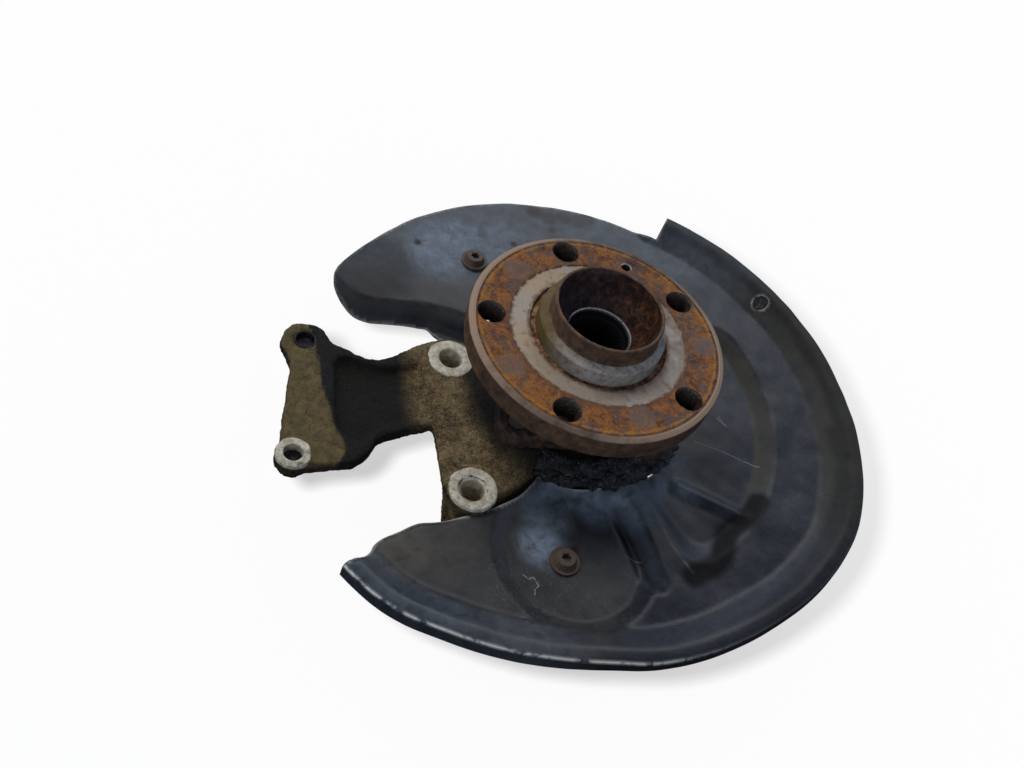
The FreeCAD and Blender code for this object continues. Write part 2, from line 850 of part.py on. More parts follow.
def shield_screw(spot, seat_z):
    shank = disc(spot, screw_shank_radius, seat_z - screw_length, seat_z)
    washer = disc(spot, screw_head_radius, seat_z, seat_z + screw_washer_thickness)
    crown_z = seat_z + screw_washer_thickness
    crown_height = screw_head_height - screw_washer_thickness
    foot_radius = screw_head_radius - screw_crown_inset
    crown = Part.makeCone(foot_radius, foot_radius - screw_crown_draft, crown_height,
                          Vector(spot[0], spot[1], crown_z), Z_AXIS)
    drive_z = seat_z + screw_head_height - screw_drive_depth
    corners = []
    for side in range(12):
        reach = screw_drive_radius if side % 2 == 0 else screw_drive_waist
        corners.append(Vector(spot[0], spot[1], 0) + polar(reach, 30 * side, drive_z))
    drive = Part.Face(closed_wire(corners)).extrude(Vector(0, 0, screw_drive_depth))
    return shank.fuse([washer, crown]).cut(drive)


def shield_screws():
    """Two washer-head screws with a six-lobe drive."""
    return Part.Compound([
        shield_screw(upper_screw, shield_z),
        shield_screw(lower_screw, shield_z - dish_drop),
    ])


parts = {
    "wheel_carrier": carrier(),
    "wheel_hub": hub(),
    "bearing_outer_ring": bearing_outer_ring(),
    "bearing_inner_ring": bearing_inner_ring(),
    "balls_outboard": ball_row(outboard_row_depth),
    "balls_inboard": ball_row(inboard_row_depth),
    "cage_outboard": cage(outboard_row_depth),
    "cage_inboard": cage(inboard_row_depth),
    "outboard_seal": outboard_seal(),
    "encoder_ring": encoder_ring(),
    "bearing_bolts": bearing_bolts(),
    "dust_shield": dust_shield(),
    "shield_screws": shield_screws(),
}
parts.update(bush("upper_link", upper_eye, eye_length))
parts.update(bush("spring_link", spring_eye, eye_length))
parts.update(bush("track_rod", track_eye, track_eye_length))

os.makedirs("parts", exist_ok=True)
for name, shape in parts.items():
    shape.exportStep("parts/" + name + ".step")
    print(name, "solids", len(shape.Solids), "valid", shape.isValid(), "volume", round(shape.Volume))
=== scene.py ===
import bpy
import math
import numpy as np
from mathutils import Matrix, Vector, kdtree
from mathutils.geometry import delaunay_2d_cdt


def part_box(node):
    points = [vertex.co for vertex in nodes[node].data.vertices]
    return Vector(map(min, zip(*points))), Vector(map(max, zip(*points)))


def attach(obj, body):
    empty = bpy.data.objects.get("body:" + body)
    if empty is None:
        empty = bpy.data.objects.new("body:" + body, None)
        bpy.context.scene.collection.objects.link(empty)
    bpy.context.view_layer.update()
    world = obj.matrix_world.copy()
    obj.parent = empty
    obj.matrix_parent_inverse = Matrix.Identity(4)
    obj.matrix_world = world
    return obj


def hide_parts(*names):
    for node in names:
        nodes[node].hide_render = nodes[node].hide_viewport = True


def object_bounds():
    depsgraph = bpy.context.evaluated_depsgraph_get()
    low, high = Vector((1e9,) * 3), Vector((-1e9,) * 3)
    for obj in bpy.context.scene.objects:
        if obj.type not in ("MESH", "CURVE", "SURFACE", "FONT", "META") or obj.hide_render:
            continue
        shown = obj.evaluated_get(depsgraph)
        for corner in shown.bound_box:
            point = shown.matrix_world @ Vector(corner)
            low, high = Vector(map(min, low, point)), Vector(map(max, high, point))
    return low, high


# Looks of a used rear wheel hub: rusty hub on its bearing, cast carrier and black dust shield.
# Sizes are in millimetres and degrees in the shared frame, and become metres in each mesh.

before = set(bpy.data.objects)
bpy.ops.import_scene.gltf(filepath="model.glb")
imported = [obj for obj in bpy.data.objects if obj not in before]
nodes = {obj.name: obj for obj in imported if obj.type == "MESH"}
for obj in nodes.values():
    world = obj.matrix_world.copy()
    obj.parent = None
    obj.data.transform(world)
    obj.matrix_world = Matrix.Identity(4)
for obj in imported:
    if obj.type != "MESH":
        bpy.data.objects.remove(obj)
cad_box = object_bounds()
MM = 0.001


def box_mm(node):
    """Lowest and highest corner of a CAD node, in millimetres."""
    low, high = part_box(node)
    return np.array(low) / MM, np.array(high) / MM


hub_low, hub_high = box_mm("wheel_hub")
ring_low, ring_high = box_mm("bearing_outer_ring")
carrier_low, carrier_high = box_mm("wheel_carrier")

# Wheel flange
hub_segments = 288
flange_radius = hub_high[0]
flange_thickness = 13.5
flange_bevel = 2.8
flange_bevel_drop = 1.1
bolt_circle_radius = 56.0
bolt_count = 5
bolt_phase = 24.5
bolt_minor_radius = 6.3
bolt_major_radius = 7.0
thread_pitch = 1.5
thread_lead_in = 1.0
disc_screw_radius = 2.5
disc_thread_radius = disc_screw_radius + 0.45
disc_sink_radius = disc_screw_radius + 0.6
disc_sink_depth = 0.6
bolt_sink_radius = bolt_major_radius + 0.35
disc_screw_spot = (54.0, 60.5)
band_outer = 46.6
band_inner = 36.1
band_depth = 0.5
groove_depth = 2.0

# Register, spigot and bore
register_radius = 33.1
register_height = 7.0
spigot_radius = 28.5
spigot_height = hub_high[2]
spigot_wall = 1.8
bowl_draft = 2.2
bowl_knee = 8.0
bowl_seat = (16.2, -0.6)
spline_count = 36
spline_tip = 13.1
spline_root = 14.3
spline_top = -4.0
spline_low = -60.0
pilot_radius = 15.0
hub_lip_radius = 24.0
hub_lip_top = hub_low[2] + 4.0
journal_radius = 20.0
inner_ring_top = -39.5
inner_land = 27.3
seal_land = 29.3
seal_land_low = -22.3
back_fillet = 9.0
ball_centre = (31.0, -29.5)
ball_track = 5.98
track_span = (141.5, 218.5)

# Carrier
face_z = carrier_high[2]
ears = [(-65.5, 16.4), (-65.5, -64.1)]
ear_seat_radius = 12.0
ear_hole_radius = 6.0
arm_hole_lower = (-150.0, -43.0)
arm_hole_upper = (-140.5, 27.4)
arm_hole_radius = 4.6
arm_seat_radius = 8.3

# Shield
shield_z = -48.0
shield_thickness = 1.2
opening_radius = 62.5
rim_rise = 8.0
rim_slope = 14.0
rim_crest = 7.2
rim_round = 2.0
rim_lip = 6.0
rim_start = 55.5
rim_end = -141.5
plain_edge_radius = 143.8
tip_edge_radius = 145.3
lip_steps = (0.25, 0.5, 0.75, 1.0, 1.35, 1.7, 2.1, 2.5)
lip_rows = len(lip_steps)
upper_screw = (-40.5, 92.5)
lower_screw = (-24.0, -100.5)
screw_hole_radius = 3.5
sheet_step = 1.6
rim_count = 330
drain_place = (151.2, 25.9)
drain_radius = 4.3

# Flaky coating round the foot of the bearing
coating_inner = 49.0
coating_outer = 64.2
coating_start = -37.0
coating_end = -122.0
coating_top = -44.0
coating_low = -47.0

# The rim is dented, so its radius changes with the angle
rim_by_angle = [
    (-150, 168), (-141, 169), (-132, 169.5), (-125, 166), (-116, 163), (-106, 160), (-98, 158.5),
    (-90, 160), (-75, 159.5), (-62, 160), (-46, 164), (-35, 166.5), (-20, 165.8), (0, 164.8),
    (20, 164.8), (40, 163.5), (60, 161),
]

# Scratches on the shield, with their half widths
shield_scratches = [
    ([(65.9, -30.6), (82.0, -38.2), (99.8, -47.6)], 0.32),
    ([(-46.0, -106.5), (-43.5, -109.0), (-41.0, -108.0), (-39.2, -112.5), (-41.5, -114.5),
      (-42.0, -117.0)], 0.38),
    ([(9.0, -98.5), (13.9, -100.7), (17.0, -101.5)], 0.35),
    ([(84.5, -15.0), (88.5, -20.5)], 0.34),
    ([(86.0, -14.0), (87.0, -18.0)], 0.28),
]
# Lines of painted shade, each with its half width and its level
shaded_lines = [
    ([(90.5, -70.7), (80.0, -80.8), (67.2, -88.2), (56.1, -104.9), (38.6, -113.6)], 4.5, 1.0),
    ([(150.0, -30.0), (146.0, -55.0), (128.0, -86.0), (104.0, -112.0), (70.0, -136.0)], 3.0, 0.5),
    ([(12.0, -76.0), (16.0, -100.0)], 2.5, 0.5),
]
# Soft spots of haze with painted reflection, dust and dirt: x, y, radius, width of the soft edge and level
haze_and_reflection_spots = [
    (-27.1, -73.4, 6, 12, 0.7), (-33.3, -91.1, 5, 12, 1.0), (0.2, -69.3, 6, 12, 0.9),
    (16.5, -62.0, 7, 12, 1.3), (31.6, -57.0, 6, 12, 1.3), (46.2, -43.0, 5, 12, 0.9),
    (21.2, -72.6, 6, 12, 0.8), (-18.6, -62.0, 5, 12, 0.9), (48.0, -62.0, 5, 12, 0.6),
    (-46.0, 112.0, 9, 12, 0.9), (-30.0, 104.0, 7, 12, 0.7), (-34, 112, 8, 20, 0.45),
    (-58, 102, 10, 26, 0.9), (-20, 112, 8, 18, 0.6),
]
dust_spots = [(-104, -92, 9, 16, 0.95), (-86, -92, 14, 22, 0.55), (-40, -112, 30, 30, 0.35)]
dirt_spots = [
    (14, 133, 4, 3, 0.9), (24, 134, 4, 3, 0.9), (33, 132, 4, 3, 0.9), (6, 138, 4, 3, 0.9),
    (39, 134, 4, 3, 0.9),
    (-72, 105, 1.6, 1.2, 1.0), (-13.5, 108.5, 1.5, 1.2, 1.0), (14, 122.5, 2.2, 1.2, 1.0),
    (150, -47, 1.2, 1.2, 1.0), (143.5, -68, 1.2, 1.2, 1.0), (-17, -94, 1.5, 1.2, 1.0),
]
# A painted highlight on the edge beside the channel
edge_glints = [(29.5, -72.7), (30.2, -84.4), (32.4, -95.8), (36.0, -104.2), (39.3, -111.5)]


def smooth(t):
    t = np.clip(t, 0.0, 1.0)
    return t * t * (3 - 2 * t)


def ramp(t, fillet):
    """A straight ramp from 0 to 1 with rounded ends."""
    def knee(s):
        return np.where(s < -fillet, 0.0, np.where(s > fillet, s, (s + fillet) ** 2 / (4 * fillet)))
    return knee(t) - knee(t - 1.0)


def smooth_least(a, b, width):
    """The lesser of two fields, with a rounded corner where they meet."""
    h = np.clip(0.5 + 0.5 * (b - a) / width, 0.0, 1.0)
    return b * (1 - h) + a * h - width * h * (1 - h)


def waves(points, size, seed, count=28):
    """Smooth noise in about -1 to 1 from plane waves, with a feature size in millimetres."""
    source = np.random.default_rng(seed)
    points = np.asarray(points, float)
    total = np.zeros(len(points))
    for _ in range(count):
        direction = source.normal(size=points.shape[1])
        direction /= np.linalg.norm(direction)
        length = size * source.uniform(0.6, 1.8)
        phase = source.uniform(0, 2 * math.pi)
        total += np.sin(points @ direction * (2 * math.pi / length) + phase)
    return total / math.sqrt(count / 2) * 0.6


def rough_noise(points, size, seed, octaves=4):
    """Several sizes of smooth noise added up, each half as large as the one before."""
    total = np.zeros(len(points))
    for octave in range(octaves):
        total += waves(points, size / 2 ** octave, seed + octave) / 2 ** octave
    return total


def through(points, step):
    """Plan points at even steps on a smooth curve through a few points."""
    source = [np.array(p, float) for p in points]
    source = [2 * source[0] - source[1]] + source + [2 * source[-1] - source[-2]]
    dense = []
    for k in range(1, len(source) - 2):
        p0, p1, p2, p3 = source[k - 1:k + 3]
        pieces = max(4, int(np.linalg.norm(p2 - p1) / step * 4))
        for t in np.arange(pieces) / pieces:
            dense.append(0.5 * (2 * p1 + (p2 - p0) * t + (2 * p0 - 5 * p1 + 4 * p2 - p3) * t ** 2
                                + (3 * p1 - p0 - 3 * p2 + p3) * t ** 3))
    dense.append(source[-2])
    return even(np.array(dense), step)


def even(line, step):
    """The same open line with its points a step apart."""
    run = np.r_[0, np.cumsum(np.linalg.norm(np.diff(line, axis=0), axis=1))]
    count = max(2, int(round(run[-1] / step)) + 1)
    wanted = np.linspace(0, run[-1], count)
    return np.stack([np.interp(wanted, run, line[:, axis]) for axis in range(line.shape[1])], 1)


def arc(radius, first, last, step):
    count = max(3, int(abs(math.radians(last - first)) * radius / step) + 1)
    turn = np.radians(np.linspace(first, last, count))
    return np.stack([radius * np.cos(turn), radius * np.sin(turn)], 1)


def circle(centre, radius, count):
    turn = np.arange(count) * 2 * math.pi / count
    return np.stack([centre[0] + radius * np.cos(turn), centre[1] + radius * np.sin(turn)], 1)


def polar_spot(radius, angle):
    return radius * math.cos(math.radians(angle)), radius * math.sin(math.radians(angle))


def distance_to(points, line):
    """Distance in plan from each point to an open line, and the side of it, left positive."""
    best = np.full(len(points), 1e9)
    side = np.zeros(len(points))
    for a, b in zip(line[:-1], line[1:]):
        along = b - a
        share = np.clip(((points - a) @ along) / (along @ along), 0, 1)
        away = points - (a + share[:, None] * along)
        distance = np.hypot(away[:, 0], away[:, 1])
        cross = along[0] * away[:, 1] - along[1] * away[:, 0]
        closer = distance < best
        best = np.where(closer, distance, best)
        side = np.where(closer, np.sign(cross), side)
    return best, side


def inside(points, loops):
    """Which plan points lie in the region that the closed loops bound."""
    odd = np.zeros(len(points), bool)
    x, y = points[:, 0], points[:, 1]
    for loop in loops:
        ends = np.roll(loop, -1, axis=0)
        for (x0, y0), (x1, y1) in zip(loop, ends):
            if y0 == y1:
                continue
            hit = ((y0 > y) != (y1 > y)) & (x < (x1 - x0) * (y - y0) / (y1 - y0) + x0)
            odd ^= hit
    return odd


def plan_sheet(loops, step):
    """Triangles over the region between loops: plan points, faces, and each loop's point numbers."""
    border = np.concatenate(loops)
    tree = kdtree.KDTree(len(border))
    for index, (x, y) in enumerate(border):
        tree.insert((x, y, 0), index)
    tree.balance()
    low = border.min(0)
    high = border.max(0)
    row_gap = step * math.sqrt(3) / 2
    grid = []
    for row, y in enumerate(np.arange(low[1], high[1], row_gap)):
        shift = step / 2 if row % 2 else 0
        xs = np.arange(low[0] + shift, high[0], step)
        grid.append(np.stack([xs, np.full(len(xs), y)], 1))
    grid = np.concatenate(grid)
    grid = grid[inside(grid, loops)]
    clear = [tree.find((x, y, 0))[2] > 0.6 * step for x, y in grid]
    points = np.concatenate([border, grid[np.array(clear, bool)]])
    edges = []
    start = 0
    numbers = []
    for loop in loops:
        count = len(loop)
        edges += [(start + k, start + (k + 1) % count) for k in range(count)]
        numbers.append(np.arange(start, start + count))
        start += count
    found = delaunay_2d_cdt([Vector(p) for p in points], edges, [], 0, 1e-5)
    corners = np.array([tuple(v) for v in found[0]])
    faces = np.array([tuple(f) for f in found[2]])
    keep = inside(corners[faces].mean(1), loops)
    return corners, faces[keep], numbers


def make_piece(name, points, faces, materials, zones=None):
    """A mesh object from points in millimetres, with a material slot for each zone."""
    mesh = bpy.data.meshes.new(name)
    faces = [list(map(int, f)) for f in faces]
    mesh.from_pydata((np.asarray(points, float) * MM).tolist(), [], faces)
    mesh.validate()
    for material in materials:
        mesh.materials.append(material)
    if zones is not None:
        mesh.polygons.foreach_set("material_index", np.asarray(zones, np.int32))
    mesh.polygons.foreach_set("use_smooth", np.ones(len(mesh.polygons), bool))
    mesh.update()
    piece = bpy.data.objects.new(name, mesh)
    bpy.context.scene.collection.objects.link(piece)
    return piece


def set_field(piece, name, values):
    """A value for each point of a mesh, which its material can read."""
    field = piece.data.attributes.new(name, "FLOAT", "POINT")
    field.data.foreach_set("value", np.asarray(values, np.float32))


def points_of(piece):
    """A mesh's points in millimetres."""
    flat = np.zeros(len(piece.data.vertices) * 3, np.float32)
    piece.data.vertices.foreach_get("co", flat)
    return flat.reshape(-1, 3).astype(float) / MM


def normals_of(piece):
    flat = np.zeros(len(piece.data.vertices) * 3, np.float32)
    piece.data.vertex_normals.foreach_get("vector", flat)
    return flat.reshape(-1, 3).astype(float)


def move_points(piece, points):
    piece.data.vertices.foreach_set("co", (points * MM).astype(np.float32).ravel())
    piece.data.update()


def settle(piece):
    """Applies a piece's modifiers to its mesh."""
    bpy.context.view_layer.update()
    shaped = piece.evaluated_get(bpy.context.evaluated_depsgraph_get())
    mesh = bpy.data.meshes.new_from_object(shaped)
    piece.modifiers.clear()
    piece.data = mesh


def sharpen(piece, angle=38.0):
    """Edges that turn by more than an angle stay sharp under smooth shading."""
    piece.data.set_sharp_from_angle(angle=math.radians(angle))


def finish_piece(piece, body, slot, *replaced):
    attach(piece, body)
    if replaced:
        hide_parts(*replaced)


def soft_profile(points, radius=0.4, steps=3):
    """A profile whose corners are rounded. Each point may carry its own radius."""
    profile = []
    count = len(points)
    for index, point in enumerate(points):
        here = np.array(point[:2], float)
        corner_radius = point[2] if len(point) > 2 else radius
        if index in (0, count - 1) or corner_radius == 0:
            profile.append(here)
            continue
        before = np.array(points[index - 1][:2], float) - here
        after = np.array(points[index + 1][:2], float) - here
        room = 0.45 * min(np.linalg.norm(before), np.linalg.norm(after))
        reach = min(corner_radius, room)
        start = here + before / np.linalg.norm(before) * reach
        end = here + after / np.linalg.norm(after) * reach
        for step in range(steps + 1):
            t = step / steps
            profile.append((1 - t) ** 2 * start + 2 * t * (1 - t) * here + t ** 2 * end)
    return np.array(profile)


def row_faces(rows, width, closed):
    """Faces between rows of points. A closed row goes on to its own first point."""
    faces = []
    for row in range(rows - 1):
        start = row * width
        for k in range(width if closed else width - 1):
            after = (k + 1) % width
            faces.append((start + k, start + after, start + width + after, start + width + k))
    return faces


def lathe(profile, segments):
    """Points and faces of a profile of (radius, height) turned about the hub's axis."""
    turn = np.arange(segments) * 2 * math.pi / segments
    radius = profile[:, 0][:, None]
    points = np.stack([
        radius * np.cos(turn), radius * np.sin(turn),
        np.repeat(profile[:, 1][:, None], segments, 1),
    ], 2).reshape(-1, 3)
    return points, row_faces(len(profile), segments, True)


class Nodes:
    """A node tree, and short ways to add nodes to it."""

    def __init__(self, tree, coordinates):
        self.tree = tree
        self.place = self.add("ShaderNodeTexCoord").outputs[coordinates]

    def add(self, kind, **options):
        node = self.tree.nodes.new(kind)
        for option, value in options.items():
            setattr(node, option, value)
        return node

    def put(self, value, socket):
        """Links a socket, or sets a number or colour on it."""
        if isinstance(value, bpy.types.NodeSocket):
            self.tree.links.new(value, socket)
        elif isinstance(value, (tuple, list)) and len(value) == 3 and socket.type == "RGBA":
            socket.default_value = (*value, 1.0)
        else:
            socket.default_value = value

    def split(self):
        node = self.add("ShaderNodeSeparateXYZ")
        self.put(self.place, node.inputs["Vector"])
        return node.outputs

    def math(self, operation, a, b=0.0, clamp=False):
        node = self.add("ShaderNodeMath", operation=operation, use_clamp=clamp)
        self.put(a, node.inputs[0])
        self.put(b, node.inputs[1])
        return node.outputs[0]

    def plus(self, a, b):
        return self.math("ADD", a, b)

    def minus(self, a, b):
        return self.math("SUBTRACT", a, b)

    def times(self, a, b):
        return self.math("MULTIPLY", a, b)

    def most(self, a, b):
        return self.math("MAXIMUM", a, b)

    def scale(self, value, share, base):
        """A share of a value, added to a base."""
        return self.plus(self.times(value, share), base)

    def ramp(self, value, *stops):
        """Colours or greys for a value, between stops of (position, colour)."""
        node = self.add("ShaderNodeValToRGB")
        elements = node.color_ramp.elements
        for index, (position, colour) in enumerate(stops):
            element = elements[index] if index < 2 else elements.new(position)
            element.position = position
            element.color = (*colour, 1) if isinstance(colour, tuple) else (colour, colour, colour, 1)
        self.put(value, node.inputs["Fac"])
        return node.outputs["Color"]

    def between(self, value, low, high):
        """0 below low, 1 above high and a straight line between."""
        node = self.add("ShaderNodeMapRange")
        self.put(value, node.inputs["Value"])
        node.inputs["From Min"].default_value = low
        node.inputs["From Max"].default_value = high
        return node.outputs["Result"]

    def mix(self, factor, a, b):
        node = self.add("ShaderNodeMix", data_type="RGBA")
        self.put(factor, node.inputs[0])
        self.put(a, node.inputs[6])
        self.put(b, node.inputs[7])
        return node.outputs[2]


class Paint(Nodes):
    """One material, and short ways to colour it."""

    def __init__(self, name, **settings):
        self.material = bpy.data.materials.new(name)
        self.material.use_nodes = True
        super().__init__(self.material.node_tree, "Object")
        self.shader = self.tree.nodes["Principled BSDF"]
        for socket, value in settings.items():
            self.put(value, self.shader.inputs[socket.replace("_", " ")])

    def noise(self, size, detail=4.0, roughness=0.55, warp=0.0, place=None):
        node = self.add("ShaderNodeTexNoise")
        self.put(self.place if place is None else place, node.inputs["Vector"])
        node.inputs["Scale"].default_value = 1.0 / (size * MM)
        node.inputs["Detail"].default_value = detail
        node.inputs["Roughness"].default_value = roughness
        node.inputs["Distortion"].default_value = warp
        return node.outputs["Fac"]

    def stretched(self, x, y, z, turn=0.0):
        """Object coordinates scaled along each axis, for streaks and scratches."""
        node = self.add("ShaderNodeMapping")
        self.put(self.place, node.inputs["Vector"])
        node.inputs["Rotation"].default_value = (0, 0, math.radians(turn))
        node.inputs["Scale"].default_value = (x, y, z)
        return node.outputs["Vector"]

    def polar(self, radial=1.0, around=1.0, up=1.0):
        """Coordinates of radius, angle and height about the hub's axis."""
        x, y, z = self.split()
        radius = self.math("POWER", self.plus(self.times(x, x), self.times(y, y)), 0.5)
        angle = self.math("ARCTAN2", y, x)
        node = self.add("ShaderNodeCombineXYZ")
        self.put(self.times(radius, radial), node.inputs[0])
        self.put(self.times(angle, around), node.inputs[1])
        self.put(self.times(z, up), node.inputs[2])
        return node.outputs["Vector"]

    def layer(self, colour, mask, tint, share):
        """A tint over a colour where a mask is, by a share."""
        return self.mix(self.times(mask, share), colour, tint)

    def field(self, name):
        return self.add("ShaderNodeAttribute", attribute_name=name).outputs["Fac"]

    def near(self, spot, radius, soft):
        """1 within a radius of a point, falling to 0 over a soft edge."""
        node = self.add("ShaderNodeVectorMath", operation="DISTANCE")
        self.put(self.place, node.inputs[0])
        node.inputs[1].default_value = tuple(c * MM for c in spot)
        return self.between(node.outputs["Value"], (radius + soft) * MM, radius * MM)

    def line(self, start, end, half):
        """1 on a straight line between two plan points, falling to 0 at its half width."""
        first = Vector((*start, 0)) * MM
        run = Vector((*end, 0)) * MM - first
        flat = self.add("ShaderNodeVectorMath", operation="MULTIPLY")
        self.put(self.place, flat.inputs[0])
        flat.inputs[1].default_value = (1, 1, 0)
        away = self.add("ShaderNodeVectorMath", operation="SUBTRACT")
        self.put(flat.outputs[0], away.inputs[0])
        away.inputs[1].default_value = first
        share = self.add("ShaderNodeVectorMath", operation="DOT_PRODUCT")
        self.put(away.outputs[0], share.inputs[0])
        share.inputs[1].default_value = run / run.length_squared
        along = self.add("ShaderNodeVectorMath", operation="SCALE")
        along.inputs[0].default_value = run
        self.put(self.math("ADD", share.outputs["Value"], 0.0, clamp=True), along.inputs["Scale"])
        gap = self.add("ShaderNodeVectorMath", operation="DISTANCE")
        self.put(away.outputs[0], gap.inputs[0])
        self.put(along.outputs[0], gap.inputs[1])
        return self.between(gap.outputs["Value"], half * MM, half * 0.3 * MM)

    def lines(self, points, half):
        """1 on a bent line through several plan points."""
        total = None
        for start, end in zip(points[:-1], points[1:]):
            piece = self.line(start, end, half)
            total = piece if total is None else self.most(total, piece)
        return total

    def ring(self, radius, half):
        """1 on a circle about the hub's axis, falling to 0 at its half width."""
        x, y, _ = self.split()
        squares = self.plus(self.times(x, x), self.times(y, y))
        away = self.math("ABSOLUTE", self.minus(self.math("POWER", squares, 0.5), radius * MM))
        return self.between(away, half * MM, half * 0.3 * MM)

    def bump(self, height, depth):
        node = self.add("ShaderNodeBump")
        self.put(height, node.inputs["Height"])
        node.inputs["Distance"].default_value = depth * MM
        return node.outputs["Normal"]

    def finish(self, colour=None, roughness=None, normal=None, metallic=None):
        for name, value in (("Base Color", colour), ("Roughness", roughness),
                            ("Normal", normal), ("Metallic", metallic)):
            if value is not None:
                self.put(value, self.shader.inputs[name])
        return self.material


def rust_face_material():
    """Mottled orange-brown rust with purple-grey patches and pits."""
    m = Paint("rust_face", IOR=1.45)
    broad = m.noise(14, 5, 0.6, 0.4)
    middle = m.noise(4.5, 6, 0.65, 0.6)
    fine = m.noise(1.1, 6, 0.7)
    grain = m.noise(0.4, 3, 0.6)
    colour = m.ramp(m.scale(broad, 0.5, m.times(middle, 0.5)),
                    (0.36, (0.022, 0.01, 0.006)), (0.46, (0.095, 0.036, 0.013)),
                    (0.54, (0.21, 0.083, 0.021)), (0.6, (0.105, 0.046, 0.022)),
                    (0.68, (0.045, 0.026, 0.022)))
    purple = m.between(m.noise(9, 6, 0.7, 0.8), 0.5, 0.57)
    colour = m.layer(colour, purple, m.mix(fine, (0.028, 0.02, 0.021), (0.105, 0.075, 0.068)), 0.85)
    yellow = m.between(m.noise(6, 5, 0.7, 1.2), 0.6, 0.68)
    colour = m.layer(colour, yellow, (0.3, 0.15, 0.03), 0.6)
    speck = m.between(fine, 0.57, 0.68)
    colour = m.layer(colour, speck, (0.26, 0.15, 0.08), 0.6)
    pits = m.between(fine, 0.45, 0.36)
    colour = m.layer(colour, pits, (0.012, 0.007, 0.005), 0.85)
    edge_line = m.times(m.ring(flange_radius - 5.4, 1.1), m.between(middle, 0.36, 0.52))
    colour = m.layer(colour, edge_line, (0.3, 0.14, 0.024), 0.5)
    dark_line = m.times(m.ring(flange_radius - 3.9, 0.8), m.between(middle, 0.62, 0.46))
    colour = m.layer(colour, dark_line, (0.02, 0.01, 0.007), 0.7)
    inner_line = m.times(m.ring(band_outer + 1.2, 1.6), m.between(middle, 0.4, 0.55))
    colour = m.layer(colour, inner_line, (0.075, 0.038, 0.022), 0.6)
    ghost = None
    for radius, angle in ((55.0, 130.9), (55.2, 204.2), (56.6, -6.9), (53.7, -79.5)):
        x, y = polar_spot(radius, angle)
        spot = m.near((x, y, 0), 6.6, 0.9)
        ghost = spot if ghost is None else m.math("ADD", ghost, spot, clamp=True)
    ghost_colour = m.mix(fine, (0.07, 0.045, 0.04), (0.15, 0.105, 0.085))
    colour = m.layer(colour, ghost, ghost_colour, 0.65)
    height = m.scale(middle, 0.6, m.times(fine, 0.5))
    height = m.plus(height, m.times(grain, 0.2))
    rough = m.scale(fine, 0.35, 0.45)
    return m.finish(colour, rough, m.bump(height, 0.5))


def rust_side_material():
    """Dull brown rust on the turned sides of the flange."""
    m = Paint("rust_side", IOR=1.45)
    lines = m.noise(1.0, 3, 0.5, 0, m.polar(1.0, 0.012, 1.0))
    middle = m.noise(5, 6, 0.65, 0.5)
    fine = m.noise(0.8, 5, 0.7)
    colour = m.ramp(middle, (0.34, (0.03, 0.018, 0.014)), (0.5, (0.08, 0.046, 0.03)),
                    (0.64, (0.13, 0.072, 0.038)))
    colour = m.mix(m.between(fine, 0.52, 0.68), colour, (0.11, 0.075, 0.055))
    height = m.scale(fine, 0.6, m.times(lines, 0.5))
    return m.finish(colour, m.scale(fine, 0.3, 0.5), m.bump(height, 0.35))


def bevel_material():
    """Tan-grey worn steel on the bevel, with painted light on its left and right sides and painted shade at
    its front.
    """
    m = Paint("bevel_steel", IOR=1.5)
    lines = m.noise(0.9, 3, 0.6, 0, m.polar(1.0, 0.01, 1.0))
    patches = m.noise(8, 5, 0.6, 0.5)
    fine = m.noise(0.8, 5, 0.65)
    bare = m.between(patches, 0.4, 0.56)
    colour = m.mix(bare, (0.07, 0.042, 0.028), (0.2, 0.15, 0.118))
    colour = m.mix(m.between(fine, 0.56, 0.68), colour, (0.085, 0.044, 0.026))
    colour = m.layer(colour, lines, (0.115, 0.088, 0.075), 0.3)
    x, y, _ = m.split()
    # Painted light on the bevel's left and right sides, and painted shade at its front
    sideways = m.math("ABSOLUTE", m.minus(m.times(y, 0.53), m.times(x, 0.85)))
    painted_side_light = m.between(sideways, 0.025, 0.055)
    colour = m.layer(colour, painted_side_light, (0.33, 0.235, 0.16), 0.6)
    painted_front_shade = m.between(sideways, 0.03, 0.004)
    colour = m.layer(colour, painted_front_shade, (0.045, 0.028, 0.02), 0.45)
    metal = m.times(bare, 0.25)
    return m.finish(colour, m.scale(fine, 0.3, 0.38), m.bump(fine, 0.12), metal)


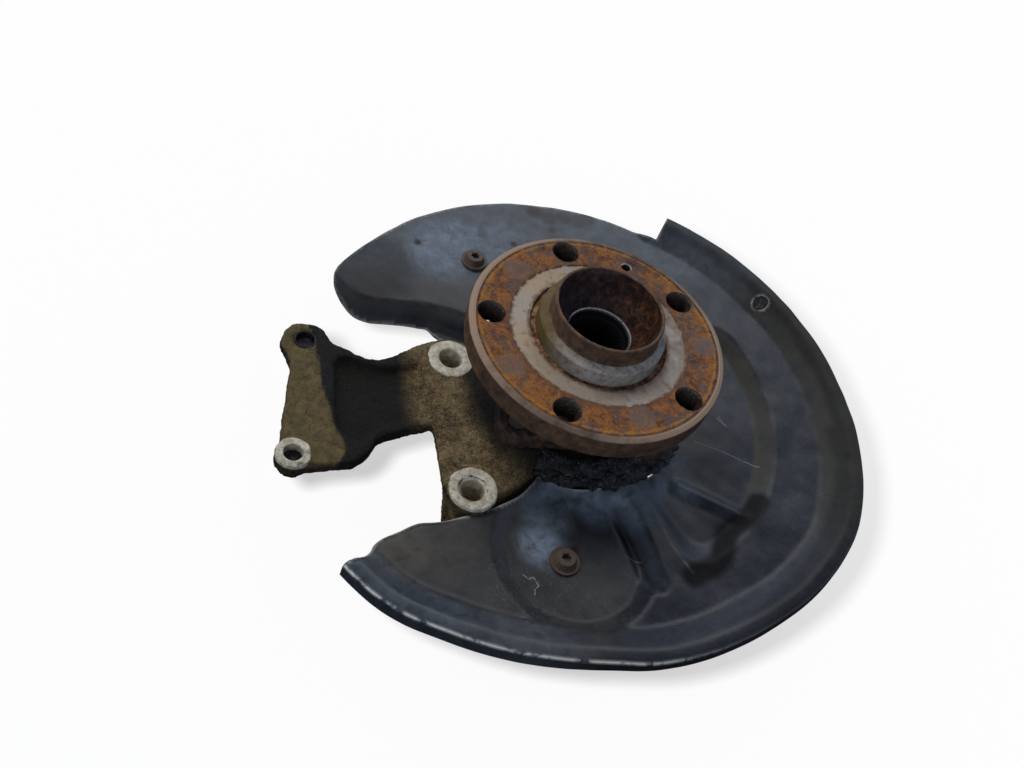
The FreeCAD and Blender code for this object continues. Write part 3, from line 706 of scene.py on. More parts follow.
def band_material():
    """Bright band that the disc has rubbed clean, with fine lines round the axis, and painted light on its
    left and front side.
    """
    m = Paint("bright_band", IOR=1.5)
    lines = m.noise(0.5, 4, 0.6, 0, m.polar(1.0, 0.006, 1.0))
    broad = m.noise(16, 4, 0.55, 0.6)
    middle = m.noise(3.5, 5, 0.6)
    fine = m.noise(0.7, 4, 0.6)
    colour = m.ramp(broad, (0.36, (0.105, 0.078, 0.058)), (0.5, (0.23, 0.19, 0.155)),
                    (0.64, (0.16, 0.135, 0.12)))
    x, y, _ = m.split()
    # Painted light: the band is lightened on its left side and at its front
    painted_light_side = m.between(m.minus(m.times(y, 0.5), x), -0.02, 0.045)
    colour = m.layer(colour, painted_light_side, (0.43, 0.325, 0.21), 0.8)
    painted_front_light = m.between(m.scale(x, 0.4, y), -0.022, -0.038)
    colour = m.layer(colour, painted_front_light, (0.35, 0.29, 0.24), 0.6)
    streaks = m.between(m.noise(1.0, 4, 0.6, 0, m.polar(0.05, 0.045, 1.0)), 0.5, 0.66)
    colour = m.layer(colour, streaks, (0.42, 0.4, 0.37), 0.14)
    clean = m.between(m.noise(22, 3, 0.5, 0.6), 0.52, 0.6)
    colour = m.layer(colour, clean, (0.33, 0.325, 0.32), 0.55)
    colour = m.layer(colour, lines, (0.15, 0.12, 0.098), 0.4)
    stain = m.between(middle, 0.54, 0.68)
    colour = m.layer(colour, stain, (0.11, 0.062, 0.036), 0.6)
    rims = m.most(m.ring(band_outer, 1.6), m.ring(band_inner, 2.6))
    colour = m.layer(colour, rims, (0.105, 0.058, 0.032), m.between(middle, 0.38, 0.52))
    rough = m.scale(lines, 0.25, 0.33)
    height = m.plus(lines, m.times(fine, 0.3))
    metal = m.minus(0.35, m.times(stain, 0.25))
    return m.finish(colour, rough, m.bump(height, 0.05), metal)


def groove_material():
    """Dark rough rust in the groove."""
    m = Paint("groove_rust", IOR=1.45)
    middle = m.noise(5, 6, 0.7, 0.5)
    fine = m.noise(0.7, 6, 0.7)
    colour = m.ramp(middle, (0.38, (0.03, 0.016, 0.01)), (0.5, (0.12, 0.06, 0.034)),
                    (0.62, (0.28, 0.15, 0.09)))
    colour = m.mix(m.between(fine, 0.58, 0.7), colour, (0.22, 0.12, 0.06))
    return m.finish(colour, 0.85, m.bump(fine, 0.5))


def register_material():
    """Register wall: stained steel, olive on one side and bare with brown spots on the other."""
    m = Paint("register_steel", IOR=1.5)
    x, y, _ = m.split()
    front = m.between(m.minus(m.times(x, 0.6), y), -0.012, 0.022)
    middle = m.noise(3.5, 6, 0.65, 0.4)
    fine = m.noise(0.7, 5, 0.65)
    olive = m.mix(middle, (0.03, 0.018, 0.006), (0.15, 0.11, 0.04))
    bare = m.mix(m.between(middle, 0.3, 0.58), (0.15, 0.12, 0.1), (0.36, 0.345, 0.33))
    colour = m.mix(front, olive, bare)
    spots = m.between(fine, 0.6, 0.68)
    colour = m.layer(colour, spots, (0.105, 0.055, 0.028), 0.7)
    metal = m.times(0.15, m.minus(1.0, spots))
    return m.finish(colour, m.scale(fine, 0.4, 0.3), m.bump(fine, 0.25), metal)


def bowl_material():
    """Inside of the spigot: purple-brown at the back and left, orange rust at the right."""
    m = Paint("bowl_rust", IOR=1.45)
    x, y, _ = m.split()
    right = m.between(m.minus(x, m.times(y, 0.3)), -0.004, 0.02)
    middle = m.noise(4, 6, 0.7, 0.5)
    fine = m.noise(0.7, 6, 0.7)
    purple = m.ramp(middle, (0.4, (0.006, 0.003, 0.004)), (0.52, (0.03, 0.015, 0.017)),
                    (0.64, (0.075, 0.042, 0.04)))
    orange = m.ramp(middle, (0.42, (0.007, 0.003, 0.002)), (0.55, (0.04, 0.015, 0.006)),
                    (0.74, (0.12, 0.05, 0.016)))
    colour = m.mix(right, purple, orange)
    colour = m.layer(colour, m.between(fine, 0.6, 0.7), (0.19, 0.115, 0.08), 0.8)
    return m.finish(colour, m.scale(fine, 0.35, 0.42), m.bump(fine, 0.4))


def bore_material():
    """Oily dark steel in the splined bore."""
    m = Paint("bore_steel", IOR=1.5)
    fine = m.noise(1.2, 4, 0.6)
    colour = m.mix(fine, (0.001, 0.001, 0.001), (0.005, 0.005, 0.006))
    m.put(0.25, m.shader.inputs["Specular IOR Level"])
    return m.finish(colour, m.scale(fine, 0.2, 0.45), m.bump(fine, 0.05))


def seat_ring_material():
    """The bright worn ring at the foot of the bowl."""
    m = Paint("seat_ring_steel", IOR=1.5)
    fine = m.noise(0.9, 4, 0.6)
    colour = m.mix(m.between(fine, 0.5, 0.66), (0.56, 0.55, 0.53), (0.2, 0.14, 0.1))
    return m.finish(colour, m.scale(fine, 0.2, 0.18), m.bump(fine, 0.06), 0.9)


def thread_material():
    """Dark oily rust on the threads."""
    m = Paint("thread_rust", IOR=1.5)
    fine = m.noise(0.9, 5, 0.65)
    colour = m.ramp(fine, (0.36, (0.02, 0.015, 0.012)), (0.54, (0.055, 0.04, 0.03)),
                    (0.72, (0.2, 0.155, 0.115)))
    return m.finish(colour, m.scale(fine, 0.25, 0.28), m.bump(fine, 0.08), 0.45)


def ring_material():
    """Rusty forged steel of the bearing's outer ring, black with dirt in places."""
    m = Paint("ring_rust", IOR=1.45)
    middle = m.noise(5, 6, 0.65, 0.5)
    fine = m.noise(0.8, 6, 0.7)
    colour = m.ramp(middle, (0.36, (0.014, 0.01, 0.009)), (0.52, (0.045, 0.028, 0.022)),
                    (0.68, (0.1, 0.055, 0.032)))
    colour = m.mix(m.between(fine, 0.6, 0.74), colour, (0.14, 0.095, 0.07))
    height = m.plus(middle, m.times(fine, 0.6))
    return m.finish(colour, m.scale(fine, 0.35, 0.42), m.bump(height, 0.6))


def shield_material():
    """Glossy blue-black paint with dust, haze with painted reflection, olive dirt with painted light,
    painted shade and highlights, fine scratches and worn edges.
    """
    m = Paint("shield_paint", IOR=1.5)
    broad = m.noise(34, 5, 0.6, 0.5)
    middle = m.noise(8, 6, 0.62, 0.5)
    fine = m.noise(1.4, 6, 0.68)
    grain = m.noise(0.5, 3, 0.6)
    scratches = None
    for points, half in shield_scratches:
        scratch = m.lines(points, half)
        scratches = scratch if scratches is None else m.most(scratches, scratch)
    scratches = m.times(scratches, m.between(fine, 0.36, 0.52))
    colour = m.mix(broad, (0.004, 0.0055, 0.009), (0.009, 0.011, 0.016))
    mottle = m.between(m.noise(3.2, 6, 0.7, 1.0), 0.44, 0.66)
    dust = m.times(m.field("dust"), m.between(middle, 0.2, 0.62))
    colour = m.mix(dust, colour, (0.062, 0.056, 0.046))
    # Olive on the right rim's slope and the sector's wall: partly dirt and partly painted light where they
    # face the light
    olive = m.times(m.field("olive"), m.between(middle, 0.15, 0.6))
    colour = m.mix(olive, colour, (0.026, 0.024, 0.015))
    # Haze: a blue-grey film, partly painted reflection of the sky on the far side, round the opening and on
    # the lower horn's slope
    haze_and_reflection = m.times(m.field("haze_and_reflection"), m.between(m.noise(7, 6, 0.65, 0.6), 0.2, 0.62))
    colour = m.mix(haze_and_reflection, colour, (0.125, 0.16, 0.215))
    brushed = m.between(m.noise(1.2, 4, 0.6, 0.4, m.stretched(1.0, 0.1, 1, 25)), 0.54, 0.66)
    brushed = m.times(brushed, m.times(m.field("dust"), m.field("haze_and_reflection")))
    colour = m.layer(colour, brushed, (0.19, 0.195, 0.19), 0.8)
    colour = m.layer(colour, mottle, (0.036, 0.042, 0.054), 0.25)
    wrinkles = m.between(m.noise(2.6, 5, 0.65, 2.5), 0.58, 0.64)
    wrinkles = m.times(wrinkles, m.field("wrinkle"))
    colour = m.layer(colour, wrinkles, (0.11, 0.112, 0.11), 0.5)
    colour = m.layer(colour, m.between(fine, 0.6, 0.74), (0.06, 0.06, 0.058), 0.4)
    # Painted highlight along the edge beside the channel
    glints = m.lines(edge_glints, 1.1)
    glints = m.times(glints, m.between(middle, 0.35, 0.6))
    colour = m.layer(colour, glints, (0.1, 0.105, 0.1), 0.5)
    colour = m.layer(colour, scratches, (0.23, 0.24, 0.26), 0.7)
    wear = m.times(m.field("wear"), m.between(m.noise(9, 5, 0.75), 0.38, 0.5))
    colour = m.mix(wear, colour, (0.52, 0.52, 0.51))
    # Painted shade: darker colour and weaker reflection along the shaded lines, on the right rim and on the
    # upper horn's tip
    shade = m.field("shade")
    colour = m.layer(colour, shade, (0.006, 0.005, 0.005), 0.7)
    m.put(m.minus(0.5, m.times(shade, 0.42)), m.shader.inputs["Specular IOR Level"])
    spots = m.field("spots")
    colour = m.mix(spots, colour, (0.01, 0.009, 0.009))
    rough = m.scale(middle, 0.16, 0.22)
    rough = m.plus(rough, m.times(dust, 0.3))
    rough = m.plus(rough, m.times(haze_and_reflection, 0.16))
    rough = m.math("ADD", rough, m.times(olive, 0.25), clamp=True)
    height = m.scale(fine, 0.5, m.times(grain, 0.3))
    return m.finish(colour, rough, m.bump(height, 0.14))


def casting_material():
    """Dirty sand-cast aluminium: olive-brown and speckled, charcoal in the web, on the side walls and round
    the bearing, partly oily dirt and partly painted shade.
    """
    m = Paint("cast_aluminium", IOR=1.45)
    broad = m.noise(18, 5, 0.6, 0.4)
    middle = m.noise(4, 6, 0.65, 0.4)
    fine = m.noise(1.0, 6, 0.7)
    grain = m.noise(0.8, 5, 0.75)
    rough_skin = m.ramp(m.scale(broad, 0.4, m.times(middle, 0.6)),
                        (0.38, (0.018, 0.012, 0.006)), (0.5, (0.11, 0.074, 0.032)),
                        (0.62, (0.22, 0.158, 0.078)))
    speckle = m.between(grain, 0.555, 0.6)
    rough_skin = m.layer(rough_skin, speckle, (0.38, 0.32, 0.22), 0.75)
    pits = m.between(fine, 0.46, 0.38)
    rough_skin = m.layer(rough_skin, pits, (0.006, 0.004, 0.003), 0.9)
    # Dark: oily dirt in the web, and painted shade on the side walls and round the bearing
    dark = m.mix(m.between(fine, 0.4, 0.66), (0.002, 0.002, 0.0015), (0.017, 0.014, 0.01))
    dark = m.layer(dark, speckle, (0.085, 0.066, 0.04), 0.3)
    colour = m.mix(m.field("dark"), rough_skin, dark)
    plate = m.mix(m.between(middle, 0.28, 0.72), (0.052, 0.036, 0.014), (0.185, 0.14, 0.062))
    plate = m.layer(plate, pits, (0.018, 0.013, 0.007), 0.5)
    plate = m.layer(plate, speckle, (0.2, 0.16, 0.09), 0.35)
    colour = m.mix(m.field("plate"), colour, plate)
    rough = m.scale(fine, 0.3, 0.42)
    height = m.scale(middle, 0.4, m.times(fine, 0.7))
    height = m.plus(height, m.times(grain, 0.25))
    return m.finish(colour, rough, m.bump(height, 2.6))


def machined_material():
    """Bright milled aluminium with faint ring marks."""
    m = Paint("machined_seat", IOR=1.5)
    fine = m.noise(0.8, 5, 0.65)
    middle = m.noise(3, 5, 0.6)
    colour = m.mix(m.between(middle, 0.4, 0.62), (0.64, 0.6, 0.5), (0.38, 0.34, 0.26))
    colour = m.layer(colour, m.between(fine, 0.54, 0.66), (0.11, 0.085, 0.05), 0.7)
    return m.finish(colour, m.scale(fine, 0.25, 0.38), m.bump(fine, 0.3), 0.45)


def coating_material():
    """Black flaky coating with a wet sheen and a few pale flakes."""
    m = Paint("flaky_coating", IOR=1.5)
    middle = m.noise(3, 6, 0.7, 0.8)
    fine = m.noise(0.8, 6, 0.7)
    colour = m.mix(m.between(middle, 0.4, 0.65), (0.003, 0.003, 0.004), (0.02, 0.017, 0.017))
    flakes = m.between(m.noise(1.3, 5, 0.7, 1.0), 0.62, 0.65)
    colour = m.layer(colour, flakes, (0.33, 0.32, 0.33), 0.8)
    height = m.plus(middle, m.times(fine, 0.5))
    return m.finish(colour, m.scale(fine, 0.4, 0.14), m.bump(height, 1.0))


def plain_material(name, dark, light, rough, metal=0.0, size=1.2, depth=0.1):
    """A worn surface between two colours, for the small and hidden pieces."""
    m = Paint(name, IOR=1.5)
    fine = m.noise(size, 5, 0.65)
    middle = m.noise(size * 5, 4, 0.6)
    colour = m.layer(dark, m.plus(fine, middle), light, 0.5)
    return m.finish(colour, m.scale(fine, 0.2, rough), m.bump(fine, depth), metal)


rust_face = rust_face_material()
rust_side = rust_side_material()
bevel_steel = bevel_material()
bright_band = band_material()
groove_rust = groove_material()
register_steel = register_material()
bowl_rust = bowl_material()
bore_steel = bore_material()
seat_ring_steel = seat_ring_material()
thread_rust = thread_material()
ring_rust = ring_material()
shield_paint = shield_material()
cast_skin = casting_material()
machined = machined_material()
coating = coating_material()

hub_materials = [rust_face, rust_side, bevel_steel, bright_band, groove_rust, register_steel,
                 bowl_rust, bore_steel, seat_ring_steel, thread_rust]
FACE, SIDE, BEVEL, BAND, GROOVE, REGISTER, BOWL, BORE, SEAT, THREAD = range(10)


def rim_radius(angle):
    """The rim's outer radius at an angle, from the points above by a smooth curve."""
    known = np.array(rim_by_angle, float)
    fine_angle = np.linspace(known[0, 0], known[-1, 0], 400)
    fine_radius = np.interp(fine_angle, known[:, 0], known[:, 1])
    kernel = np.hanning(25)
    padded = np.pad(fine_radius, 12, mode="edge")
    fine_radius = np.convolve(padded, kernel / kernel.sum(), mode="valid")
    return np.interp(angle, fine_angle, fine_radius)


# Plan of the two horns
lower_horn = [(-131.8, -105.5), (-127.4, -100.9), (-121.2, -98.0), (-117.8, -94.5), (-115.4, -90.0),
              (-110.9, -86.6), (-102.7, -83.1), (-93.2, -78.8), (-83.5, -78.0), (-63.2, -75.5),
              (-41.2, -65.7), (-30.0, -55.0)]
upper_horn = [(-50.0, 37.5), (-56.0, 38.6), (-63.0, 40.2), (-68.0, 44.0), (-71.5, 48.4), (-79.8, 49.6),
              (-92.5, 50.6), (-104.0, 51.6), (-112.0, 54.8), (-118.2, 61.8), (-121.8, 69.6), (-122.2, 76.4),
              (-119.9, 82.0)]
upper_crease = [(-128.0, 82.0), (-121.6, 75.0), (-117.2, 67.6), (-108.1, 60.6), (-90.3, 58.0),
                (-71.8, 57.0), (-58.0, 53.0), (-46.0, 47.5), (-36.0, 42.0)]
flap_drop = 11.0
flap_width = 7.0
lower_fold_drop = 3.2
lower_fold_width = 3.6

# Pressed shapes in the shield
sector_radius = 117.8
sector_start = 27.0
sector_end = -69.5
sector_drop = 4.5
sector_wall = 9.0
sector_corner = 15.0
dish_centre = (-19.0, -98.5)
dish_radius = 42.0
dish_drop = 5.0
dish_wall = 8.0
bead_line = [(48.3, -59.8), (77.4, -77.6)]
bead_half = 7.0
bead_rise = 1.9
channel_line = [(11.0, -73.0), (19.1, -115.7)]
channel_half = 8.0
channel_drop = 3.0


def sector_depth(points):
    """How far each plan point lies inside the sunk sector, in millimetres."""
    radius = np.hypot(points[:, 0], points[:, 1])
    angle = np.degrees(np.arctan2(points[:, 1], points[:, 0]))
    from_start = np.radians(sector_start - angle) * radius
    from_end = np.radians(angle - sector_end) * radius
    ends = smooth_least(from_start, from_end, sector_corner)
    return smooth_least(sector_radius - radius, ends, sector_corner)


def shield_height(points):
    """Height of the shield's upper face over each plan point."""
    radius = np.hypot(points[:, 0], points[:, 1])
    angle = np.degrees(np.arctan2(points[:, 1], points[:, 0]))
    edge = rim_radius(angle)
    has_rim = smooth((62 - angle) / 5) * smooth((angle + 155) / 5)
    z = shield_z + rim_rise * has_rim * ramp((radius - (edge - rim_crest - rim_slope)) / rim_slope, 0.12)
    depth = sector_depth(points)
    z = z - sector_drop * ramp(depth / sector_wall, 0.14)
    from_dish = dish_radius - np.hypot(points[:, 0] - dish_centre[0], points[:, 1] - dish_centre[1])
    z = z - dish_drop * ramp(from_dish / dish_wall, 0.2)
    along, _ = distance_to(points, np.array(channel_line))
    z = z - channel_drop * smooth((channel_half - along) / channel_half)
    along, _ = distance_to(points, np.array(bead_line))
    z = z + bead_rise * smooth((bead_half - along) / bead_half)
    away, side = distance_to(points, through(upper_crease, 3.0))
    beyond = np.where(side < 0, away, -away)
    z = z - flap_drop * ramp(beyond / flap_width, 0.25) * ((points[:, 0] < -38) & (points[:, 1] > 20))
    away, side = distance_to(points, through(lower_horn[1:-2], 3.0))
    fold = smooth((lower_fold_width - away) / lower_fold_width) * smooth((-70 - points[:, 0]) / 12)
    z = z - lower_fold_drop * fold
    z = z + 0.35 * waves(points, 46, 31) + 0.12 * waves(points, 17, 32)
    return z


def blob(points, centre, radius, soft):
    away = np.hypot(points[:, 0] - centre[0], points[:, 1] - centre[1])
    return smooth((radius + soft - away) / soft)


def with_spots(field, points, spots):
    """A field, raised to the level of each soft spot where it lies."""
    for x, y, radius, soft, level in spots:
        field = np.maximum(field, level * blob(points, (x, y), radius, soft))
    return field


def dust_shield():
    """The pressed sheet: plan triangles raised by the height field, then a lip and a thickness."""
    step = sheet_step
    angles = np.linspace(rim_start, rim_end, rim_count)
    crest = rim_radius(angles) - rim_round
    turn = np.radians(angles)
    rim = np.stack([crest * np.cos(turn), crest * np.sin(turn)], 1)
    low_edge = through([tuple(rim[-1])] + lower_horn, step)
    low_angle = math.degrees(math.atan2(lower_horn[-1][1], lower_horn[-1][0]))
    high_angle = math.degrees(math.atan2(upper_horn[0][1], upper_horn[0][0]))
    hole = arc(opening_radius, low_angle, high_angle, step)
    high_edge = through(upper_horn, step)
    plain_start = math.degrees(math.atan2(upper_horn[-1][1], upper_horn[-1][0]))
    plain = arc(plain_edge_radius, plain_start, rim_start, step)
    around = np.linspace(0.0, plain_start - rim_start, len(plain))
    plain *= (1 + (tip_edge_radius / plain_edge_radius - 1) * smooth(1 - around / 14))[:, None]
    corner = even(np.array([plain[-1], rim[0]]), step)
    outline = np.concatenate([rim, low_edge[1:], hole, high_edge, plain[1:], corner[1:-1]])
    keep = np.linalg.norm(outline - np.roll(outline, 1, axis=0), axis=1) > 0.2
    outline = outline[keep]
    drain = circle(polar_spot(*drain_place), drain_radius, 28)
    screw_holes = [circle(spot, screw_hole_radius, 16) for spot in (upper_screw, lower_screw)]
    plan, faces, loops = plan_sheet([outline, drain] + screw_holes, step)
    z = shield_height(plan)
    points = np.column_stack([plan, z])

    # The lip hangs from the rim's crest
    rows = [loops[0][:rim_count]]
    lip_points = [points]
    lip_faces = []
    start = len(points)
    deeper = 2.5 * smooth((-88 - angles) / 20)
    crest_z = z[rows[0]]
    for share in lip_steps:
        if share <= 1.0:
            bend = share * math.pi / 2
            out = rim_round * math.sin(bend)
            down = np.full(rim_count, rim_round * (1 - math.cos(bend)))
        else:
            out = rim_round + 0.25 * (share - 1)
            down = rim_round + (share - 1) / 1.5 * (rim_lip - rim_round + deeper)
        radius = crest + out
        row = np.stack([radius * np.cos(turn), radius * np.sin(turn), crest_z - down], 1)
        lip_points.append(row)
        rows.append(np.arange(start, start + rim_count))
        start += rim_count
    for above, below in zip(rows[:-1], rows[1:]):
        for k in range(rim_count - 1):
            lip_faces.append((above[k], above[k + 1], below[k + 1]))
            lip_faces.append((above[k], below[k + 1], below[k]))
    points = np.concatenate(lip_points)
    limit = np.array(cad_box[1]) / MM
    floor_limit = np.array(cad_box[0]) / MM
    points[:, :2] = np.clip(points[:, :2], floor_limit[:2] + 0.1, limit[:2] - 0.1)
    piece = make_piece("shield_sheet", points, list(faces) + lip_faces, [shield_paint])
    shield_fields(piece, points, np.concatenate([outline, drain]))
    solid = piece.modifiers.new("thickness", "SOLIDIFY")
    solid.thickness = shield_thickness * MM
    solid.offset = -1
    settle(piece)
    sharpen(piece)
    finish_piece(piece, "carrier", "shield_paint", "dust_shield")


def shield_fields(piece, points, border):
    """Where the paint is dusty, hazy with painted reflection, olive with painted light, worn or spotted,
    and where painted shade falls.
    """
    plan = points[:, :2]
    radius = np.hypot(plan[:, 0], plan[:, 1])
    angle = np.degrees(np.arctan2(plan[:, 1], plan[:, 0]))
    tree = kdtree.KDTree(len(border) - rim_count)
    for index, (x, y) in enumerate(border[rim_count:]):
        tree.insert((x, y, 0), index)
    tree.balance()
    from_edge = np.array([tree.find((x, y, 0))[2] for x, y in plan])
    edge = rim_radius(angle)
    upper = smooth((plan[:, 1] - 35) / 25) * smooth((30 - plan[:, 0]) / 80)
    set_field(piece, "dust", np.clip(with_spots(0.45 * upper, plan, dust_spots), 0, 1))
    # Haze: partly a real film and partly painted reflection of the sky, on the far side, round the opening
    # and on the lower horn's slope
    haze_and_reflection = with_spots(np.zeros(len(plan)), plan, haze_and_reflection_spots)
    low_side = smooth((-30 - angle) / 15) * smooth((angle + 118) / 20)
    haze_and_reflection = np.maximum(haze_and_reflection, 0.50 * smooth((84 - radius) / 16) * low_side)
    haze_and_reflection = np.maximum(haze_and_reflection, 0.30 * smooth((plan[:, 1] - 60) / 40))
    low_slope = smooth((radius - (edge - rim_crest - rim_slope)) / 4) * smooth((-96 - angle) / 14)
    haze_and_reflection = np.maximum(haze_and_reflection, 0.25 * low_slope)
    set_field(piece, "haze_and_reflection", haze_and_reflection)
    # Painted shade along the shaded lines, on the right rim and on the upper horn's tip
    shade = np.zeros(len(plan))
    for line, half, level in shaded_lines:
        away, _ = distance_to(plan, through(line, 3.0))
        shade = np.maximum(shade, level * smooth((half + 4 - away) / 5))
    rim_side = smooth((angle + 75) / 15) * smooth((64 - angle) / 8)
    shade = np.maximum(shade, 0.55 * smooth((radius - (edge - 15)) / 5) * rim_side)
    shade = np.maximum(shade, 0.55 * blob(plan, (-104, 84), 18, 20))
    set_field(piece, "shade", np.clip(shade, 0, 1))
    wrinkle = blob(plan, (-44, -112), 18, 16) * smooth((-95 - plan[:, 1]) / 12)
    wrinkle = np.maximum(wrinkle, 0.7 * blob(plan, (-12, -130), 8, 14))
    set_field(piece, "wrinkle", wrinkle)
    # Olive on the rim slope and the sector wall at the right: partly dirt and partly painted light
    slope = smooth((radius - (edge - rim_crest - rim_slope - 3)) / 6)
    slope = slope * smooth((angle + 50) / 25) * smooth((60 - angle) / 10)
    depth = sector_depth(plan)
    wall = smooth(depth / 2) * smooth((sector_wall + 2 - depth) / 2) * smooth((angle + 42) / 12)
    set_field(piece, "olive", np.clip(np.maximum(0.8 * slope, 0.95 * wall), 0, 1))
    wear = smooth((0.9 - from_edge) / 0.9) * 0.35
    row = np.arange(len(points)) - (len(points) - lip_rows * rim_count)
    row = np.where(row < 0, -1, row // rim_count)
    on_crest = np.where(row == 1, 1.0, np.where(row == 2, 0.45, np.where(row == 0, 0.2, 0.0)))
    low_rim = smooth((-72 - angle) / 20) * 0.9 + 0.1
    wear = np.maximum(wear * (row < 0), on_crest * low_rim)
    set_field(piece, "wear", wear)
    set_field(piece, "spots", with_spots(np.zeros(len(plan)), plan, dirt_spots))


def wheel_bolt_spots():
    return [polar_spot(bolt_circle_radius, bolt_phase + 360 / bolt_count * k) for k in range(bolt_count)]


def face_loops(outer, inner, bolt_hole, screw_hole):
    """Edges of a flat side of the flange: two circles about the axis and one round each hole."""
    loops = [circle((0, 0), radius, hub_segments) for radius in (outer, inner)]
    loops += [circle(spot, bolt_hole, 48) for spot in wheel_bolt_spots()]
    return loops + [circle(polar_spot(*disc_screw_spot), screw_hole, 24)]


def thread(spot, low, high, minor, major, pitch, segments=48):
    """The wall of a tapped hole, as rows that climb round it."""
    crest = 0.16
    flank = 0.30
    turns = math.ceil((high - low) / pitch) + 2
    phases = [0.0, crest, crest + flank, 1 - flank]
    radii = [minor, minor, major, major]
    points = []
    for turn in range(turns):
        for phase, radius in zip(phases, radii):
            angle = np.arange(segments + 1) * 2 * math.pi / segments
            z = high - pitch * (turn + phase - 1) - pitch * np.arange(segments + 1) / segments
            row = np.stack([spot[0] + radius * np.cos(angle), spot[1] + radius * np.sin(angle), z], 1)
            points.append(row)
    points = np.array(points)
    points[:, :, 2] = np.clip(points[:, :, 2], low, high)
    rows = len(points)
    points = points.reshape(-1, 3)
    faces = []
    for corners in row_faces(rows, segments + 1, False):
        heights = points[list(corners), 2]
        if heights.max() - heights.min() > 1e-6:
            faces.append(corners)
    return points, faces


def wheel_hub():
    """The hub: turned sides, face with tapped holes, spigot, bowl and splined bore."""
    back = -flange_thickness
    parts = []

    def add(points, faces, zone):
        parts.append((np.asarray(points, float), [tuple(f) for f in faces], zone))

    def turned(profile, zone, radius=0.4, steps=3):
        add(*lathe(soft_profile(profile, radius, steps), hub_segments), zone)

    bevel_inner = flange_radius - flange_bevel
    face_outer = bevel_inner - 0.5
    face_inner = band_outer + 0.35
    bevel_foot = (flange_radius, -flange_bevel_drop - 0.5)
    spigot_foot = (spigot_radius + 0.6, register_height + 1.4)
    bowl_rim = (spigot_radius - spigot_wall, spigot_height - 0.6)
    seat_top = (bowl_seat[0] + 0.7, bowl_seat[1] + 0.4)
    seat_foot = (bowl_seat[0] - 0.3, bowl_seat[1] - 1.2)
    turned([(face_outer, 0), (bevel_inner, -0.25), (bevel_inner + 0.35, -0.05),
            (flange_radius - 0.1, -flange_bevel_drop), bevel_foot], BEVEL, 0.25)
    turned([bevel_foot, (flange_radius - 0.15, -5.5), (flange_radius, -9.0),
            (flange_radius - 0.1, back + 0.3), (flange_radius - 1.0, back)], SIDE, 0.6)
    turned([(face_inner, 0), (band_outer, -0.15), (band_outer, -band_depth),
            (band_inner + 0.2, -band_depth), (band_inner, -band_depth - 0.3)], BAND, 0.2)
    turned([(band_inner, -band_depth - 0.3), (band_inner - 0.2, -groove_depth),
            (register_radius, -groove_depth)], GROOVE, 0.6)
    turned([(register_radius, -groove_depth), (register_radius, register_height - 0.6),
            (register_radius - 0.8, register_height), spigot_foot], REGISTER, 0.5)
    turned([spigot_foot, (spigot_radius, spigot_foot[1] + 0.8), (spigot_radius, spigot_height - 0.6),
            (spigot_radius - 0.7, spigot_height), (bowl_rim[0] + 0.3, spigot_height), bowl_rim], SIDE, 0.5)
    turned([bowl_rim, (bowl_rim[0] - bowl_draft, bowl_knee), seat_top], BOWL, 2.5, 5)
    turned([seat_top, bowl_seat, seat_foot], SEAT, 0.3)
    turned([seat_foot, (spline_root + 0.5, spline_top)], BORE, 0.3)
    track = []
    for angle in np.radians(np.linspace(*track_span, 9)):
        track.append((ball_centre[0] + ball_track * math.cos(angle),
                      ball_centre[1] + ball_track * math.sin(angle), 0))
    turned([(seal_land + back_fillet, back), (seal_land, ring_high[2] + 0.3), (seal_land, seal_land_low),
            (inner_land, seal_land_low), *track, (inner_land, inner_ring_top),
            (journal_radius, inner_ring_top), (journal_radius, hub_lip_top), (hub_lip_radius, hub_lip_top),
            (hub_lip_radius, hub_low[2]), (pilot_radius, hub_low[2]), (pilot_radius, spline_low)],
           SIDE, 0.4)

    # Splines
    star = []
    pitch = 360 / spline_count
    tooth_shape = ((-0.36, spline_tip), (-0.20, spline_root), (0.20, spline_root), (0.36, spline_tip))
    for tooth in range(spline_count):
        for share, radius in tooth_shape:
            star.append(polar_spot(radius, pitch * (tooth + share)))
    star = np.array(star)
    count = len(star)
    outward = star / np.linalg.norm(star, axis=1)[:, None]
    ring = outward * (spline_root + 0.5)
    pilot = outward * pilot_radius
    rows = [(ring, spline_top), (star, spline_top - 0.4), (star, spline_low), (pilot, spline_low)]
    points = np.concatenate([np.column_stack([plan, np.full(count, z)]) for plan, z in rows])
    add(points, row_faces(len(rows), count, True), BORE)

    # The face and the back of the flange, with their holes
    spots = wheel_bolt_spots()
    screw = polar_spot(*disc_screw_spot)
    loops = face_loops(face_outer, face_inner, bolt_sink_radius, disc_sink_radius)
    plan, faces, _ = plan_sheet(loops, 0.95)
    relief = 0.10 * rough_noise(plan, 6, 60, 4)
    near_loop = np.minimum(face_outer - np.hypot(*plan.T), np.hypot(*plan.T) - band_outer - 0.35)
    for spot, radius in [(spot, bolt_sink_radius) for spot in spots] + [(screw, disc_sink_radius)]:
        away = np.hypot(plan[:, 0] - spot[0], plan[:, 1] - spot[1])
        near_loop = np.minimum(near_loop, away - radius)
    relief *= smooth(near_loop / 1.2)
    add(np.column_stack([plan, np.minimum(relief - 0.05, 0.0)]), faces, FACE)
    loops = face_loops(flange_radius - 1.0, seal_land + back_fillet, bolt_major_radius, disc_thread_radius)
    plan, faces, _ = plan_sheet(loops, 2.2)
    add(np.column_stack([plan, np.full(len(plan), back)]), [tuple(reversed(f)) for f in faces], SIDE)

